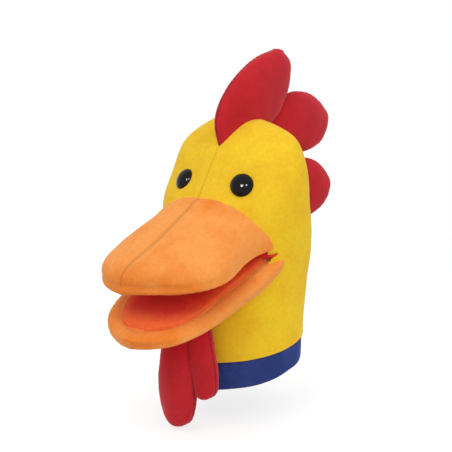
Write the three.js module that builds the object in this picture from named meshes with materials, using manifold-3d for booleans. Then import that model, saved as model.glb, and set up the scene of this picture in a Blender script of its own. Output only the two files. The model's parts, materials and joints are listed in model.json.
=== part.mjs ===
// Plush rooster glove puppet: a sewn velour head and sleeve that covers a hand, a padded duck-like
// beak whose two halves hinge at the mouth fold, three stuffed comb lobes on the crown and two
// stuffed wattle lobes at the throat.
// Millimetres, +Z up, the beak points to -Y, the puppet's own left is +X.
// The origin is the centre of the cuff's opening, where the wearer's wrist passes.
import * as THREE from 'three';
import { LoftGeometry } from 'three/addons/geometries/LoftGeometry.js';
import { mergeVertices } from 'three/addons/utils/BufferGeometryUtils.js';
import Module from 'manifold-3d';

const wasm = await Module();
wasm.setup();

// ---------- driving dimensions ----------

const DEG = Math.PI / 180;
const GAP = 0.3; // air between neighbouring layers and pieces
const SMALLEST = 0.6; // smallest half size that any ring shrinks to
const FAR = 300; // beyond every surface of the puppet, for the blocks that cut it

// Cloth and filling, from the outside in.
const COVER = 1.8; // velour with its backing
const PADDING = 5.0; // foam-backed wadding under the head's cover
const LINING = 1.3; // woven lining
const CUFF_WALL = 2.2; // doubled cuff cloth
const PADDING_OUT = COVER + GAP; // insets of the head's layers from its outer face
const PADDING_IN = PADDING_OUT + PADDING;
const LINING_OUT = PADDING_IN + GAP;
const LINING_IN = LINING_OUT + LINING;

// Head and sleeve, from the hem to the crown: height, half width, half depth, and the y of the
// section's centre. The face is flatter than the back, so the centre moves back with height.
const HEAD_STATIONS = [
  { z: -30, halfWidth: 50, halfDepth: 50, centre: 0 },
  { z: 0, halfWidth: 50, halfDepth: 50, centre: 0 },
  { z: 28, halfWidth: 51, halfDepth: 50.5, centre: 0.5 },
  { z: 58, halfWidth: 53.5, halfDepth: 52, centre: 2 },
  { z: 88, halfWidth: 57, halfDepth: 52.5, centre: 4 },
  { z: 118, halfWidth: 60.5, halfDepth: 48, centre: 6 },
  { z: 140, halfWidth: 61, halfDepth: 39.5, centre: 9.5 },
  { z: 158, halfWidth: 55, halfDepth: 31, centre: 12.5 },
  { z: 172, halfWidth: 45, halfDepth: 23.5, centre: 15 },
  { z: 182, halfWidth: 31.5, halfDepth: 16, centre: 16.5 },
  { z: 188, halfWidth: 16, halfDepth: 9, centre: 17 },
  { z: 190, halfWidth: 2, halfDepth: 1.5, centre: 17 },
];
const FACE_POWER = 1.85; // superellipse power of the front half of the head's sections
const NAPE_POWER = 2.15; // and of the back half
const HEAD_RINGS = 11;
const HEAD_SIDES = 20;
const PROFILE_STEP = 1e-3; // share of the profile over which its slope is measured

// Cuff: the hem is cut on a slant, higher at the back.
const HEM_SLOPE = 10.5 * DEG;
const HEM_DROP = 5.6; // how far the hem lies below the origin, on the origin's axis
const CUFF_HEIGHT = 19; // blue cloth below the yellow edge
const CUFF_SETBACK = 1.5; // the yellow edge stands proud of the cuff by this much
const CUFF_TURN_IN = 13; // height of the cuff's inner wall
const CUFF_INNER = CUFF_SETBACK + CUFF_WALL; // inset of the cuff's outer cloth on its inner face

// Mouth: both halves of the beak turn about one line across the head.
const MOUTH_Y = -11.5;
const MOUTH_Z = 89.5;
const BEAK_TURN = 5 * DEG; // the whole beak points a little to the puppet's left
const UPPER_TILT = 11 * DEG; // the palate falls towards the tip
const LOWER_TILT = 27 * DEG; // the mouth floor falls further, so the mouth stands open
const UPPER_LIFT = 2 * DEG; // the head is cut clear for the upper beak to lift this much
const LOWER_OPEN = 2 * DEG; // and for the lower beak to open this much more
const RIM_RISE = 4; // height of the rim's widest line above the palate or below the floor
const MOUTH_START = 3; // the beak's layers start this far ahead of the fold
const FOLD_ROOM = 6.5; // radius kept free of the head around the fold
const MOUTH_SPAN = 140; // the mouth's opening runs right across the head
const MOUTH_REACH = 90; // and out past the face

// Beak outlines: distance from the fold, half width, and height of the back (or belly).
const UPPER_STATIONS = [
  { s: MOUTH_START, halfWidth: 53, height: 37 },
  { s: 20, halfWidth: 48.5, height: 43 },
  { s: 36, halfWidth: 49.5, height: 38.5 },
  { s: 52, halfWidth: 54, height: 34 },
  { s: 66, halfWidth: 57, height: 29.5 },
  { s: 78, halfWidth: 55.5, height: 26 },
  { s: 87, halfWidth: 50, height: 23 },
  { s: 94, halfWidth: 40.5, height: 20.5 },
  { s: 100, halfWidth: 27.5, height: 17.5 },
  { s: 104, halfWidth: 15, height: 13.5 },
  { s: 106, halfWidth: 5, height: 9 },
];
const LOWER_STATIONS = [
  { s: MOUTH_START, halfWidth: 56, height: 19 },
  { s: 20, halfWidth: 55.5, height: 27.5 },
  { s: 37, halfWidth: 53.5, height: 30 },
  { s: 54, halfWidth: 51, height: 29 },
  { s: 70, halfWidth: 49, height: 27 },
  { s: 85, halfWidth: 45.5, height: 24.5 },
  { s: 98, halfWidth: 39, height: 21 },
  { s: 108.5, halfWidth: 29.5, height: 17 },
  { s: 116, halfWidth: 17, height: 12.5 },
  { s: 120, halfWidth: 6, height: 8 },
];
const BEAK_POWER = 2.3; // superellipse power of the beak's sections
const BEAK_RINGS = 8;
const BEAK_SIDES = 16;

// Pockets for the fingers (upper beak) and the thumb (lower beak).
const FINGER_POCKET = { halfWidth: 37, floor: 5.6, height: 21, start: 14, end: 72 };
const THUMB_POCKET = { halfWidth: 20, floor: 4.6, height: 16, start: 16, end: 62 };
const POCKET_TAPER = 0.2; // the pockets narrow by this share towards their ends
const POCKET_POWER = 3; // superellipse power of the pockets' sections
const POCKET_RINGS = [0, 0.35, 0.6, 0.8, 1]; // shares of a pocket's length, closer at its end
const POCKET_MOUTH = 5; // the hollow of a pocket's cloth runs past its open end by this much
const HEAD_REACH = 30; // a pocket's room in the padding runs this far back into the head

// Eyes: domed buttons whose stems pass through the cover to a washer.
const EYE_X = 28.5;
const EYE_Z = 138.5;
const EYE_RADIUS = 8.3;
const EYE_DOME = 5.6; // height of the dome
const EYE_EDGE = 1; // straight edge between the dome and the button's back
const EYE_STEPS = 6; // steps up the dome
const EYE_SIDES = 20;
const POST_SIDES = 28; // sides of the round rooms and discs under an eye
const EYE_SINK = 1.1; // depth of the button's back below the cover's face
const STEM_RADIUS = 2.6;
const STEM_LENGTH = 5.0;
const WASHER_RADIUS = 7;
const WASHER_THICKNESS = 1.4;
const WASHER_SAG = 1.1; // fall of the curved cover under the washer's edge

// Stuffed lobes in the centre plane. Each is a front and a back edge, from the root to the tip,
// as [y, z], with the half thickness at each step.
const LOBE_COVER = 1.5;
const LOBE_SIDES = 10;
const LOBE_RINGS = 6;
const COMB_FLOP = 12 * DEG; // each comb lobe leans this much to either side
const WATTLE_FORWARD = 15 * DEG; // the wattles swing forward about their root
const WATTLE_BACK = 2 * DEG; // and back towards the chest
const COMB_LOBES = {
  comb_front: {
    pivot: [0, 10, 184],
    axis: [0, 50, 14],
    front: [[-14, 164], [-16.5, 180], [-10, 198], [7, 215], [28, 227.5], [50, 234]],
    back: [[36, 178], [48, 191], [59, 201], [66, 211], [68, 222], [61, 231.5]],
    half: [2.2, 8.5, 10.5, 9.5, 7, 2.5],
  },
  comb_middle: {
    pivot: [0, 42, 167],
    axis: [0, 12, -20],
    front: [[38, 174], [54, 192], [73, 200], [93, 196], [110, 184]],
    back: [[43.5, 155], [66, 151], [86, 151], [103, 156], [115, 172]],
    half: [2.2, 8, 9.5, 7.5, 2.5],
  },
  comb_rear: {
    pivot: [0, 51, 128],
    axis: [0, 5, -46],
    front: [[47, 149], [70, 147.5], [92, 144], [106, 136], [113, 126]],
    back: [[54, 104], [76, 98], [94, 99], [106, 105], [113, 118]],
    half: [2.2, 7.5, 9, 7, 2.5],
  },
};
const WATTLE_LOBES = {
  wattle_right: {
    x: 1.5,
    pivot: [1.5, -66, 34],
    axis: [1, 0, 0],
    front: [[-76, 34], [-79.5, 16], [-80, -4], [-78.5, -22], [-75, -33], [-70, -37]],
    back: [[-60, 42], [-57.5, 18], [-57, -2], [-58, -20], [-61.5, -32], [-66.5, -36.8]],
    half: [8, 12.5, 15, 14, 9.5, 3.5],
  },
  wattle_left: {
    x: 26.5,
    pivot: [26.5, -61, 38],
    axis: [1, 0, 0],
    front: [[-67, 38], [-70, 24], [-70.5, 10], [-69.5, -3], [-66.5, -11], [-62.5, -14]],
    back: [[-54, 44], [-52, 28], [-51.5, 12], [-52, -2], [-54.5, -10], [-59, -13.8]],
    half: [6, 8.5, 9.5, 9, 6.5, 3],
  },
};

// ---------- materials ----------

function velour(color) {
  return new THREE.MeshStandardMaterial({ color, roughness: 0.95 });
}

const YELLOW = velour(0xe9c024);
const ORANGE = velour(0xe5974e);
const RED = velour(0xb92429);
const MOUTH_RED = velour(0xcc2e23);
const BLUE = velour(0x273772);
const WADDING = velour(0xeceae4);
const LINING_CLOTH = velour(0xd8d4c8);
const BLACK_PLASTIC = new THREE.MeshStandardMaterial({ color: 0x100d0c, roughness: 0.08 });
const WHITE_PLASTIC = new THREE.MeshStandardMaterial({ color: 0xe6e4dc, roughness: 0.4 });

// ---------- helpers ----------

// A closed geometry as a solid for joining and cutting.
function solid(geometry) {
  const bare = new THREE.BufferGeometry();
  bare.setAttribute('position', geometry.attributes.position);
  bare.setIndex(geometry.index);
  const merged = mergeVertices(bare, 1e-4);
  return new wasm.Manifold(new wasm.Mesh({
    numProp: 3,
    vertProperties: Float32Array.from(merged.attributes.position.array),
    triVerts: Uint32Array.from(merged.index.array),
  }));
}

// A named piece of the puppet.
function piece(name, body, material) {
  const mesh = body.getMesh();
  const geometry = new THREE.BufferGeometry();
  geometry.setAttribute('position', new THREE.BufferAttribute(mesh.vertProperties, 3));
  geometry.setIndex(new THREE.BufferAttribute(mesh.triVerts, 1));
  geometry.computeVertexNormals();
  const result = new THREE.Mesh(geometry, material);
  result.name = name;
  return result;
}

// A block between two opposite corners.
function box(low, high) {
  const geometry = new THREE.BoxGeometry(high[0] - low[0], high[1] - low[1], high[2] - low[2]);
  geometry.translate((low[0] + high[0]) / 2, (low[1] + high[1]) / 2, (low[2] + high[2]) / 2);
  return geometry;
}

// A closed oval ring of points. across and up are the two half sizes; place(a, b) makes the point.
function oval(sides, across, up, power, place) {
  const points = [];
  for (let i = 0; i < sides; i++) {
    const angle = (i / sides) * 2 * Math.PI;
    const a = Math.sign(Math.cos(angle)) * Math.abs(Math.cos(angle)) ** (2 / power);
    const b = Math.sign(Math.sin(angle)) * Math.abs(Math.sin(angle)) ** (2 / power);
    points.push(place(across * a, up * b));
  }
  return points;
}

// Reads three values of a table smoothly between its rows, t from 0 at the first to 1 at the last.
function between(rows, keys, t) {
  const curve = new THREE.CatmullRomCurve3(
    rows.map((row) => new THREE.Vector3(row[keys[0]], row[keys[1]], row[keys[2]])),
    false, 'catmullrom', 0.5,
  );
  return curve.getPoint(t);
}

const LEFT_HALF = solid(box([GAP / 2, -FAR, -FAR], [FAR, FAR, FAR]));
const RIGHT_HALF = solid(box([-FAR, -FAR, -FAR], [-GAP / 2, FAR, FAR]));

// ---------- head and sleeve ----------

// One ring of the head at t, 0 at the hem and 1 at the crown, set in along the profile's normal.
function headRing(t, inset) {
  const keys = ['halfWidth', 'halfDepth', 'z'];
  const sizes = between(HEAD_STATIONS, keys, t);
  const middle = between(HEAD_STATIONS, ['centre', 'centre', 'centre'], t).x;
  const before = between(HEAD_STATIONS, keys, Math.max(0, t - PROFILE_STEP));
  const after = between(HEAD_STATIONS, keys, Math.min(1, t + PROFILE_STEP));
  const run = Math.hypot(after.x - before.x, after.z - before.z);
  const sideways = (after.z - before.z) / run;
  const upwards = (before.x - after.x) / run;
  const halfWidth = Math.max(SMALLEST * 2, sizes.x - inset * sideways);
  const halfDepth = Math.max(SMALLEST * 1.5, sizes.y - inset * sideways);
  const z = sizes.z - inset * upwards;
  return { halfWidth, halfDepth, z, middle };
}

// The whole head and sleeve as one solid, set in by the inset.
function headBody(inset) {
  const sections = [];
  for (let i = 0; i <= HEAD_RINGS; i++) {
    const ring = headRing(i / HEAD_RINGS, inset);
    const place = (a, b) => new THREE.Vector3(a, ring.middle + b, ring.z);
    const nape = oval(HEAD_SIDES, ring.halfWidth, ring.halfDepth, NAPE_POWER, place);
    const face = oval(HEAD_SIDES, ring.halfWidth, ring.halfDepth, FACE_POWER, place);
    sections.push(nape.map((point, j) => (j <= HEAD_SIDES / 2 ? point : face[j])));
  }
  return solid(new LoftGeometry(sections, { closed: true, capStart: true, capEnd: true }));
}

// Everything above a plane parallel to the slanted hem, at a height over the hem on the origin's axis.
function aboveHem(height) {
  const block = box([-FAR, -FAR, 0], [FAR, FAR, 2 * FAR]);
  block.rotateX(HEM_SLOPE);
  block.translate(0, 0, height - HEM_DROP);
  return solid(block);
}

// A layer of the head between two insets, from one hem height up.
function headLayer(outer, inner, from) {
  return headBody(outer).subtract(headBody(inner)).intersect(aboveHem(from));
}

// ---------- beak ----------

// A half of the beak in its own frame: the fold on the x axis, the tip towards -y, the mouth side
// at z 0. side is +1 for the upper beak (body above) and -1 for the lower beak (body below).
function beakBody(stations, side, inset) {
  const length = stations[stations.length - 1].s;
  const sections = [];
  for (let i = 0; i <= BEAK_RINGS; i++) {
    const at = between(stations, ['s', 'halfWidth', 'height'], i / BEAK_RINGS);
    const rise = Math.max(SMALLEST, at.z - RIM_RISE - inset);
    const fall = Math.max(SMALLEST, RIM_RISE - inset);
    const s = at.x * (1 - inset / length);
    const halfWidth = Math.max(SMALLEST, at.y - inset);
    const section = oval(BEAK_SIDES, halfWidth, 1, BEAK_POWER,
      (a, b) => new THREE.Vector3(a, -s, side * (RIM_RISE + b * (b > 0 ? rise : fall))));
    sections.push(side > 0 ? section : section.reverse());
  }
  return solid(new LoftGeometry(sections, { closed: true, capStart: true, capEnd: true }));
}

// A flat pocket, rounded at its end. It runs back past its own start by the overrun.
function pocketBody(pocket, side, inset, overrun) {
  const ring = (s) => {
    const along = Math.max(0, (s - pocket.start) / (pocket.end - pocket.start));
    const taper = 1 - POCKET_TAPER * along ** 3;
    const middle = pocket.floor + (pocket.height / 2) * taper;
    const halfWidth = pocket.halfWidth * taper - inset;
    const halfHeight = (pocket.height / 2) * taper - inset;
    return oval(BEAK_SIDES, halfWidth, halfHeight, POCKET_POWER,
      (across, up) => new THREE.Vector3(across, -s, side * middle + up));
  };
  const sections = overrun > 0 ? [ring(pocket.start - overrun)] : [];
  for (const share of POCKET_RINGS) {
    sections.push(ring(pocket.start + (pocket.end - inset - pocket.start) * share));
  }
  return solid(new LoftGeometry(sections, { closed: true, capStart: true, capEnd: true }));
}

// Turns a body from a beak's own frame into the puppet's frame.
function placed(body, tilt) {
  return body.rotate([tilt / DEG, 0, BEAK_TURN / DEG]).translate([0, MOUTH_Y, MOUTH_Z]);
}

// A level slice of a beak's own frame, between two heights on its side.
function slab(side, from, to) {
  const low = Math.min(side * from, side * to);
  const high = Math.max(side * from, side * to);
  return solid(box([-FAR, -FAR, low], [FAR, FAR, high]));
}

// The space between the two halves of the beak, as a wedge that opens from the fold.
function gapeBody() {
  const profile = new THREE.Shape();
  profile.moveTo(0, -RIM_RISE);
  profile.lineTo(0, RIM_RISE);
  profile.lineTo(
    -MOUTH_REACH * Math.cos(UPPER_TILT),
    -MOUTH_REACH * Math.sin(UPPER_TILT) + RIM_RISE,
  );
  profile.lineTo(
    -MOUTH_REACH * Math.cos(LOWER_TILT),
    -MOUTH_REACH * Math.sin(LOWER_TILT) - RIM_RISE,
  );
  const wedge = new THREE.ExtrudeGeometry(profile, { depth: MOUTH_SPAN, bevelEnabled: false });
  wedge.translate(0, 0, -MOUTH_SPAN / 2);
  const forward = new THREE.Vector3(0, 1, 0);
  const upward = new THREE.Vector3(0, 0, 1);
  const across = new THREE.Vector3(1, 0, 0);
  wedge.applyMatrix4(new THREE.Matrix4().makeBasis(forward, upward, across));
  return placed(solid(wedge), 0);
}

// The opening in the head for the whole mouth, with room for the upper beak to lift and for the
// lower beak to open.
function mouthOpening() {
  const fold = new THREE.CylinderGeometry(FOLD_ROOM, FOLD_ROOM, MOUTH_SPAN, 20);
  fold.rotateZ(Math.PI / 2);
  return placed(beakBody(UPPER_STATIONS, 1, -GAP), UPPER_TILT)
    .add(placed(beakBody(UPPER_STATIONS, 1, -GAP), UPPER_TILT - UPPER_LIFT))
    .add(placed(beakBody(LOWER_STATIONS, -1, -GAP), LOWER_TILT))
    .add(placed(beakBody(LOWER_STATIONS, -1, -GAP), LOWER_TILT + LOWER_OPEN))
    .add(placed(solid(fold), 0))
    .add(gapeBody());
}

// The pieces of one half of the beak. The mouth's lining is named by itself, because it is the
// palate above and the mouth's floor below.
function beakPieces(prefix, lining, pocketName, stations, side, tilt, pocket) {
  const body = beakBody(stations, side, 0);
  const under = beakBody(stations, side, COVER);
  const filling = beakBody(stations, side, COVER + GAP);
  const skin = body.subtract(under);
  const back = slab(side, RIM_RISE + GAP / 2, FAR);
  const mouthSide = slab(side, -FAR, RIM_RISE - GAP / 2);
  const clearOfHead = headBody(-GAP);
  const headRoom = clearOfHead.intersect(placed(slab(side, pocket.floor - GAP * 2, FAR), tilt));
  const cover = placed(skin.intersect(back), tilt).subtract(clearOfHead);
  const palate = placed(skin.intersect(mouthSide), tilt);
  const pocketRoom = pocketBody(pocket, side, -GAP, pocket.start + HEAD_REACH);
  const wadding = placed(filling.subtract(pocketRoom), tilt).subtract(headRoom);
  const pocketHollow = pocketBody(pocket, side, LINING, POCKET_MOUTH);
  const pocketSkin = pocketBody(pocket, side, 0, 0).subtract(pocketHollow);
  return [
    piece(`${prefix}_cover_left`, cover.intersect(LEFT_HALF), ORANGE),
    piece(`${prefix}_cover_right`, cover.intersect(RIGHT_HALF), ORANGE),
    piece(`${prefix}_padding`, wadding, WADDING),
    piece(lining, palate, MOUTH_RED),
    piece(pocketName, placed(pocketSkin, tilt), LINING_CLOTH),
  ];
}

// ---------- eyes ----------

// A point of the face at a given x, and at t on the head's profile.
function facePoint(x, t) {
  const ring = headRing(t, 0);
  const share = Math.min(1, x / ring.halfWidth) ** FACE_POWER;
  return new THREE.Vector3(x, ring.middle - ring.halfDepth * (1 - share) ** (1 / FACE_POWER), ring.z);
}

// Where an eye sits on the face, and the way it looks. mirror is +1 on the left, -1 on the right.
function eyeSeat(mirror) {
  let t = 0;
  while (headRing(t, 0).z < EYE_Z) {
    t += 2 * PROFILE_STEP;
  }
  const point = facePoint(EYE_X, t);
  const up = facePoint(EYE_X, t + 10 * PROFILE_STEP).sub(point);
  const across = facePoint(EYE_X + 1, t).sub(point);
  const normal = across.cross(up).normalize();
  point.x *= mirror;
  normal.x *= mirror;
  return { point, normal };
}

// Puts a body made about the z axis on the face: z 0 at the cover's surface, z outwards.
function onFace(geometry, mirror) {
  const seat = eyeSeat(mirror);
  const turn = new THREE.Quaternion().setFromUnitVectors(new THREE.Vector3(0, 0, 1), seat.normal);
  geometry.applyQuaternion(turn);
  geometry.translate(seat.point.x, seat.point.y, seat.point.z);
  return solid(geometry);
}

// A round post about the z axis.
function post(radius, from, to, sides) {
  const geometry = new THREE.CylinderGeometry(radius, radius, to - from, sides);
  geometry.rotateX(Math.PI / 2);
  geometry.translate(0, 0, (from + to) / 2);
  return geometry;
}

// A button eye: its stem, its flat back, a short straight edge and a dome.
function eyeBody(mirror) {
  const back = -EYE_SINK;
  const end = back - STEM_LENGTH;
  const profile = [
    new THREE.Vector2(0, end),
    new THREE.Vector2(STEM_RADIUS, end),
    new THREE.Vector2(STEM_RADIUS, back),
    new THREE.Vector2(EYE_RADIUS, back),
  ];
  for (let i = 1; i < EYE_STEPS; i++) {
    const angle = (i / EYE_STEPS) * (Math.PI / 2);
    const rise = back + EYE_EDGE + EYE_DOME * Math.sin(angle);
    profile.push(new THREE.Vector2(EYE_RADIUS * Math.cos(angle), rise));
  }
  profile.push(new THREE.Vector2(0, back + EYE_EDGE + EYE_DOME));
  const geometry = new THREE.LatheGeometry(profile, EYE_SIDES);
  geometry.rotateX(Math.PI / 2);
  return onFace(geometry, mirror);
}

// The washer that grips an eye's stem under the cover.
function washerBody(mirror) {
  const top = -COVER - WASHER_SAG - EYE_SINK;
  const disc = onFace(post(WASHER_RADIUS, top - WASHER_THICKNESS, top, POST_SIDES), mirror);
  return disc.subtract(onFace(post(STEM_RADIUS + GAP, -FAR, FAR, EYE_SIDES), mirror));
}

// ---------- stuffed lobes ----------

// Cuts a swinging body clear of what it is sewn to, at rest and at each limit of its swing.
// The hinge runs through pivot along axis; the limits are in radians.
function clearOf(body, obstacle, pivot, axis, limits) {
  const to = new THREE.Matrix4().makeTranslation(...pivot);
  const from = new THREE.Matrix4().makeTranslation(...pivot.map((value) => -value));
  let result = body;
  for (const angle of [0, ...limits]) {
    const turn = new THREE.Matrix4().makeRotationAxis(new THREE.Vector3(...axis).normalize(), -angle);
    result = result.subtract(obstacle.transform(to.clone().multiply(turn).multiply(from).elements));
  }
  return result;
}

// A lobe as one solid, set in by the inset: an oval ring at each step between its two edges.
function lobeBody(lobe, inset) {
  const shift = lobe.x ?? 0;
  const curve = (points) => new THREE.CatmullRomCurve3(points, false, 'catmullrom', 0.5);
  const front = curve(lobe.front.map((row) => new THREE.Vector3(0, row[0], row[1])));
  const back = curve(lobe.back.map((row) => new THREE.Vector3(0, row[0], row[1])));
  const half = curve(lobe.half.map((value) => new THREE.Vector3(value, 0, 0)));
  const trim = inset / front.getLength();
  const sections = [];
  for (let i = 0; i <= LOBE_RINGS; i++) {
    const t = trim + (1 - 2 * trim) * (i / LOBE_RINGS);
    const a = front.getPoint(t);
    const b = back.getPoint(t);
    const middle = a.clone().add(b).multiplyScalar(0.5);
    const along = a.clone().sub(b);
    const chord = Math.max(SMALLEST, along.length() / 2 - inset);
    along.normalize();
    const thick = Math.max(SMALLEST, half.getPoint(t).x - inset);
    sections.push(oval(LOBE_SIDES, thick, chord, 2, (u, v) => (
      new THREE.Vector3(shift + u, middle.y - along.y * v, middle.z - along.z * v)
    )));
  }
  const rootToTip = front.getPoint(1).sub(front.getPoint(0));
  const frontToBack = back.getPoint(0).sub(front.getPoint(0));
  const sense = new THREE.Vector3(1, 0, 0).cross(frontToBack).dot(rootToTip);
  if (sense < 0) {
    sections.forEach((section) => section.reverse());
  }
  return solid(new LoftGeometry(sections, { closed: true, capStart: true, capEnd: true }));
}

// A lobe's two covers and its stuffing, cut clear of what it is sewn to as it swings.
function lobePieces(name, lobe, obstacle, swing) {
  const cut = (body) => clearOf(body, obstacle, lobe.pivot, lobe.axis, swing);
  const shell = cut(lobeBody(lobe, 0).subtract(lobeBody(lobe, LOBE_COVER)));
  const shift = lobe.x ?? 0;
  const left = LEFT_HALF.translate([shift, 0, 0]);
  const right = RIGHT_HALF.translate([shift, 0, 0]);
  return [
    piece(`${name}_cover_left`, shell.intersect(left), RED),
    piece(`${name}_cover_right`, shell.intersect(right), RED),
    piece(`${name}_stuffing`, cut(lobeBody(lobe, LOBE_COVER + GAP)), WADDING),
  ];
}

// ---------- assembly ----------

const group = new THREE.Group();
const opening = mouthOpening();

// The head's cover is cut out at each eye for the button and its stem, and its padding for the
// washer.
function eyeRoom(mirror) {
  const button = onFace(post(EYE_RADIUS + GAP, -EYE_SINK - GAP, FAR, POST_SIDES), mirror);
  const stem = onFace(post(STEM_RADIUS + GAP, -EYE_SINK - STEM_LENGTH, 0, EYE_SIDES), mirror);
  return button.add(stem);
}

function washerRoom(mirror) {
  const depth = -EYE_SINK - STEM_LENGTH - GAP;
  return onFace(post(WASHER_RADIUS + GAP, depth, 0, POST_SIDES), mirror);
}

const coverLayer = headLayer(0, COVER, CUFF_HEIGHT)
  .subtract(opening)
  .subtract(eyeRoom(1))
  .subtract(eyeRoom(-1));
group.add(piece('head_cover_left', coverLayer.intersect(LEFT_HALF), YELLOW));
group.add(piece('head_cover_right', coverLayer.intersect(RIGHT_HALF), YELLOW));

const aboveCuff = headLayer(PADDING_OUT, PADDING_IN, CUFF_HEIGHT + GAP);
const insideCuff = headLayer(CUFF_INNER + GAP, PADDING_IN, CUFF_WALL + GAP);
const paddingLayer = aboveCuff
  .add(insideCuff)
  .subtract(opening)
  .subtract(washerRoom(1))
  .subtract(washerRoom(-1));
group.add(piece('head_padding_left', paddingLayer.intersect(LEFT_HALF), WADDING));
group.add(piece('head_padding_right', paddingLayer.intersect(RIGHT_HALF), WADDING));

const headLining = headLayer(LINING_OUT, LINING_IN, CUFF_TURN_IN + GAP).subtract(opening);
group.add(piece('hand_lining', headLining, LINING_CLOTH));

// The cuff is one band that is folded under the hem, so it holds the padding's lower edge.
const cuffBand = headBody(CUFF_SETBACK)
  .subtract(headBody(LINING_OUT + CUFF_WALL))
  .intersect(aboveHem(0))
  .subtract(aboveHem(CUFF_HEIGHT - GAP))
  .subtract(headLayer(CUFF_INNER, LINING_OUT, CUFF_WALL))
  .subtract(headBody(PADDING_IN).intersect(aboveHem(CUFF_TURN_IN)));
group.add(piece('cuff_band', cuffBand, BLUE));

for (const [side, mirror] of [['left', 1], ['right', -1]]) {
  group.add(piece(`eye_${side}`, eyeBody(mirror), BLACK_PLASTIC));
  group.add(piece(`eye_washer_${side}`, washerBody(mirror), WHITE_PLASTIC));
}

group.add(...beakPieces('upper_beak', 'palate', 'finger_pocket',
  UPPER_STATIONS, 1, UPPER_TILT, FINGER_POCKET));
group.add(...beakPieces('lower_beak', 'mouth_floor', 'thumb_pocket',
  LOWER_STATIONS, -1, LOWER_TILT, THUMB_POCKET));

const crown = headBody(-GAP);
for (const [name, lobe] of Object.entries(COMB_LOBES)) {
  group.add(...lobePieces(name, lobe, crown, [-COMB_FLOP, COMB_FLOP]));
}
const throat = placed(beakBody(LOWER_STATIONS, -1, -GAP), LOWER_TILT);
for (const [name, lobe] of Object.entries(WATTLE_LOBES)) {
  group.add(...lobePieces(name, lobe, throat, [-WATTLE_FORWARD, WATTLE_BACK]));
}

export default group;
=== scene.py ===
# %% [markdown]
# # A plush rooster glove puppet
# The puppet is a sewn velour head and sleeve worn on the hand. A wide padded beak opens at a fold,
# three stuffed comb lobes stand on the crown, and two wattle lobes hang under the beak.
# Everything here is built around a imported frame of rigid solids, in metres, with +Z up, the beak
# towards -Y and the puppet's own left towards +X. The frame's box is kept first, because the
# finished cloth may stand only a little proud of it.

# %% Load the frame
import json
import math

import bmesh
import bpy
import numpy as np
from mathutils import Matrix, Vector, noise

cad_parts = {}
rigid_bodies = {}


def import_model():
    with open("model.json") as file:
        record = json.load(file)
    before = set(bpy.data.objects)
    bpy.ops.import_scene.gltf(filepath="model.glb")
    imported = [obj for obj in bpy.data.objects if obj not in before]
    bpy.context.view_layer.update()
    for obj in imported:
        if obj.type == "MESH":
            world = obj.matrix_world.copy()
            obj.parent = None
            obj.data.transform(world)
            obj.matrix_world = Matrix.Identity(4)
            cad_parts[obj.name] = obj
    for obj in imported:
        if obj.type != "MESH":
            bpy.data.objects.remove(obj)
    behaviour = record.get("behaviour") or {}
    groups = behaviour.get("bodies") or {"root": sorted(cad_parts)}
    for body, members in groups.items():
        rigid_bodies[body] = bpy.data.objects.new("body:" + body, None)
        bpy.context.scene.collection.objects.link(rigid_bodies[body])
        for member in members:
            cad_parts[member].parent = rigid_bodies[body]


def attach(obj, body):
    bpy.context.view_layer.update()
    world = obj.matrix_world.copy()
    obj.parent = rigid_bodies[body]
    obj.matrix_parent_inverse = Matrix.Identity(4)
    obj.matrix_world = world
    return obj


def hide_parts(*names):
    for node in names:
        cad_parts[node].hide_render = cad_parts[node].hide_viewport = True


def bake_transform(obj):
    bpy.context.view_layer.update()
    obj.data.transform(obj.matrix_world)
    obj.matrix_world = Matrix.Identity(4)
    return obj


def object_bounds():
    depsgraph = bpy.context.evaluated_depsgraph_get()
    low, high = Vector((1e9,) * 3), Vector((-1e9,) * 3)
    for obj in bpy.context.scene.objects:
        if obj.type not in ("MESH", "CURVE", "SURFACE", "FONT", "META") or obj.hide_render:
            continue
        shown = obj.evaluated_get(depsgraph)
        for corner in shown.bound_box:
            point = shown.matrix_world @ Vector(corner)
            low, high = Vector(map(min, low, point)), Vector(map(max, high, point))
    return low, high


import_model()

cad_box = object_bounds()

# %% [markdown]
# ## Smooth lines through a few sizes
# A pattern maker writes a body down as a few stations and lets a smooth line join them. The same
# works here: each piece is a short table in millimetres, and a Catmull-Rom spline reads any number
# of values between its rows. Subdivision surfaces could round a coarse cage as well, but the tables
# hit their sizes exactly, which matters where two pieces are sewn together.

# %% Splines and soft steps
MM = 0.001
DEG = math.pi / 180


def spline(rows, t):
    """Values of a table at t, 0 at its first row and 1 at its last."""
    p = np.asarray(rows, float).reshape(len(rows), -1)
    ends = np.vstack([2 * p[0] - p[1], p, 2 * p[-1] - p[-2]])
    x = np.clip(np.asarray(t, float), 0, 1) * (len(p) - 1)
    i = np.minimum(x.astype(int), len(p) - 2)
    f = (x - i)[..., None]
    a, b, c, d = ends[i], ends[i + 1], ends[i + 2], ends[i + 3]
    cubic = 3 * b - a - 3 * c + d
    return 0.5 * (2 * b + (c - a) * f + (2 * a - 5 * b + 4 * c - d) * f**2 + cubic * f**3)


def soft(value, low, high):
    """0 at low, 1 at high, with a soft start and end."""
    t = np.clip((np.asarray(value, float) - low) / (high - low), 0, 1)
    return t * t * (3 - 2 * t)


def bell(distance, width):
    """1 at no distance, fading out over the width."""
    return np.exp(-((np.asarray(distance) / width) ** 2))


def oval(angle, power):
    """A rounded unit section; power 2 is an ellipse and more is squarer."""
    c, s = np.cos(angle), np.sin(angle)
    across = np.sign(c) * np.abs(c) ** (2 / power)
    up = np.sign(s) * np.abs(s) ** (2 / power)
    return across, up


# %% [markdown]
# ## From a grid of points to a mesh
# Every cloth panel is a grid: one direction runs along the piece and the other goes round it. The
# grid keeps its order, so a seam is simply one column of it, and the seam's groove, its puckers
# and its darker line can all be placed by distance from that column. Values that the materials
# need, such as how near a seam is, are stored on the points as attributes.

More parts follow.
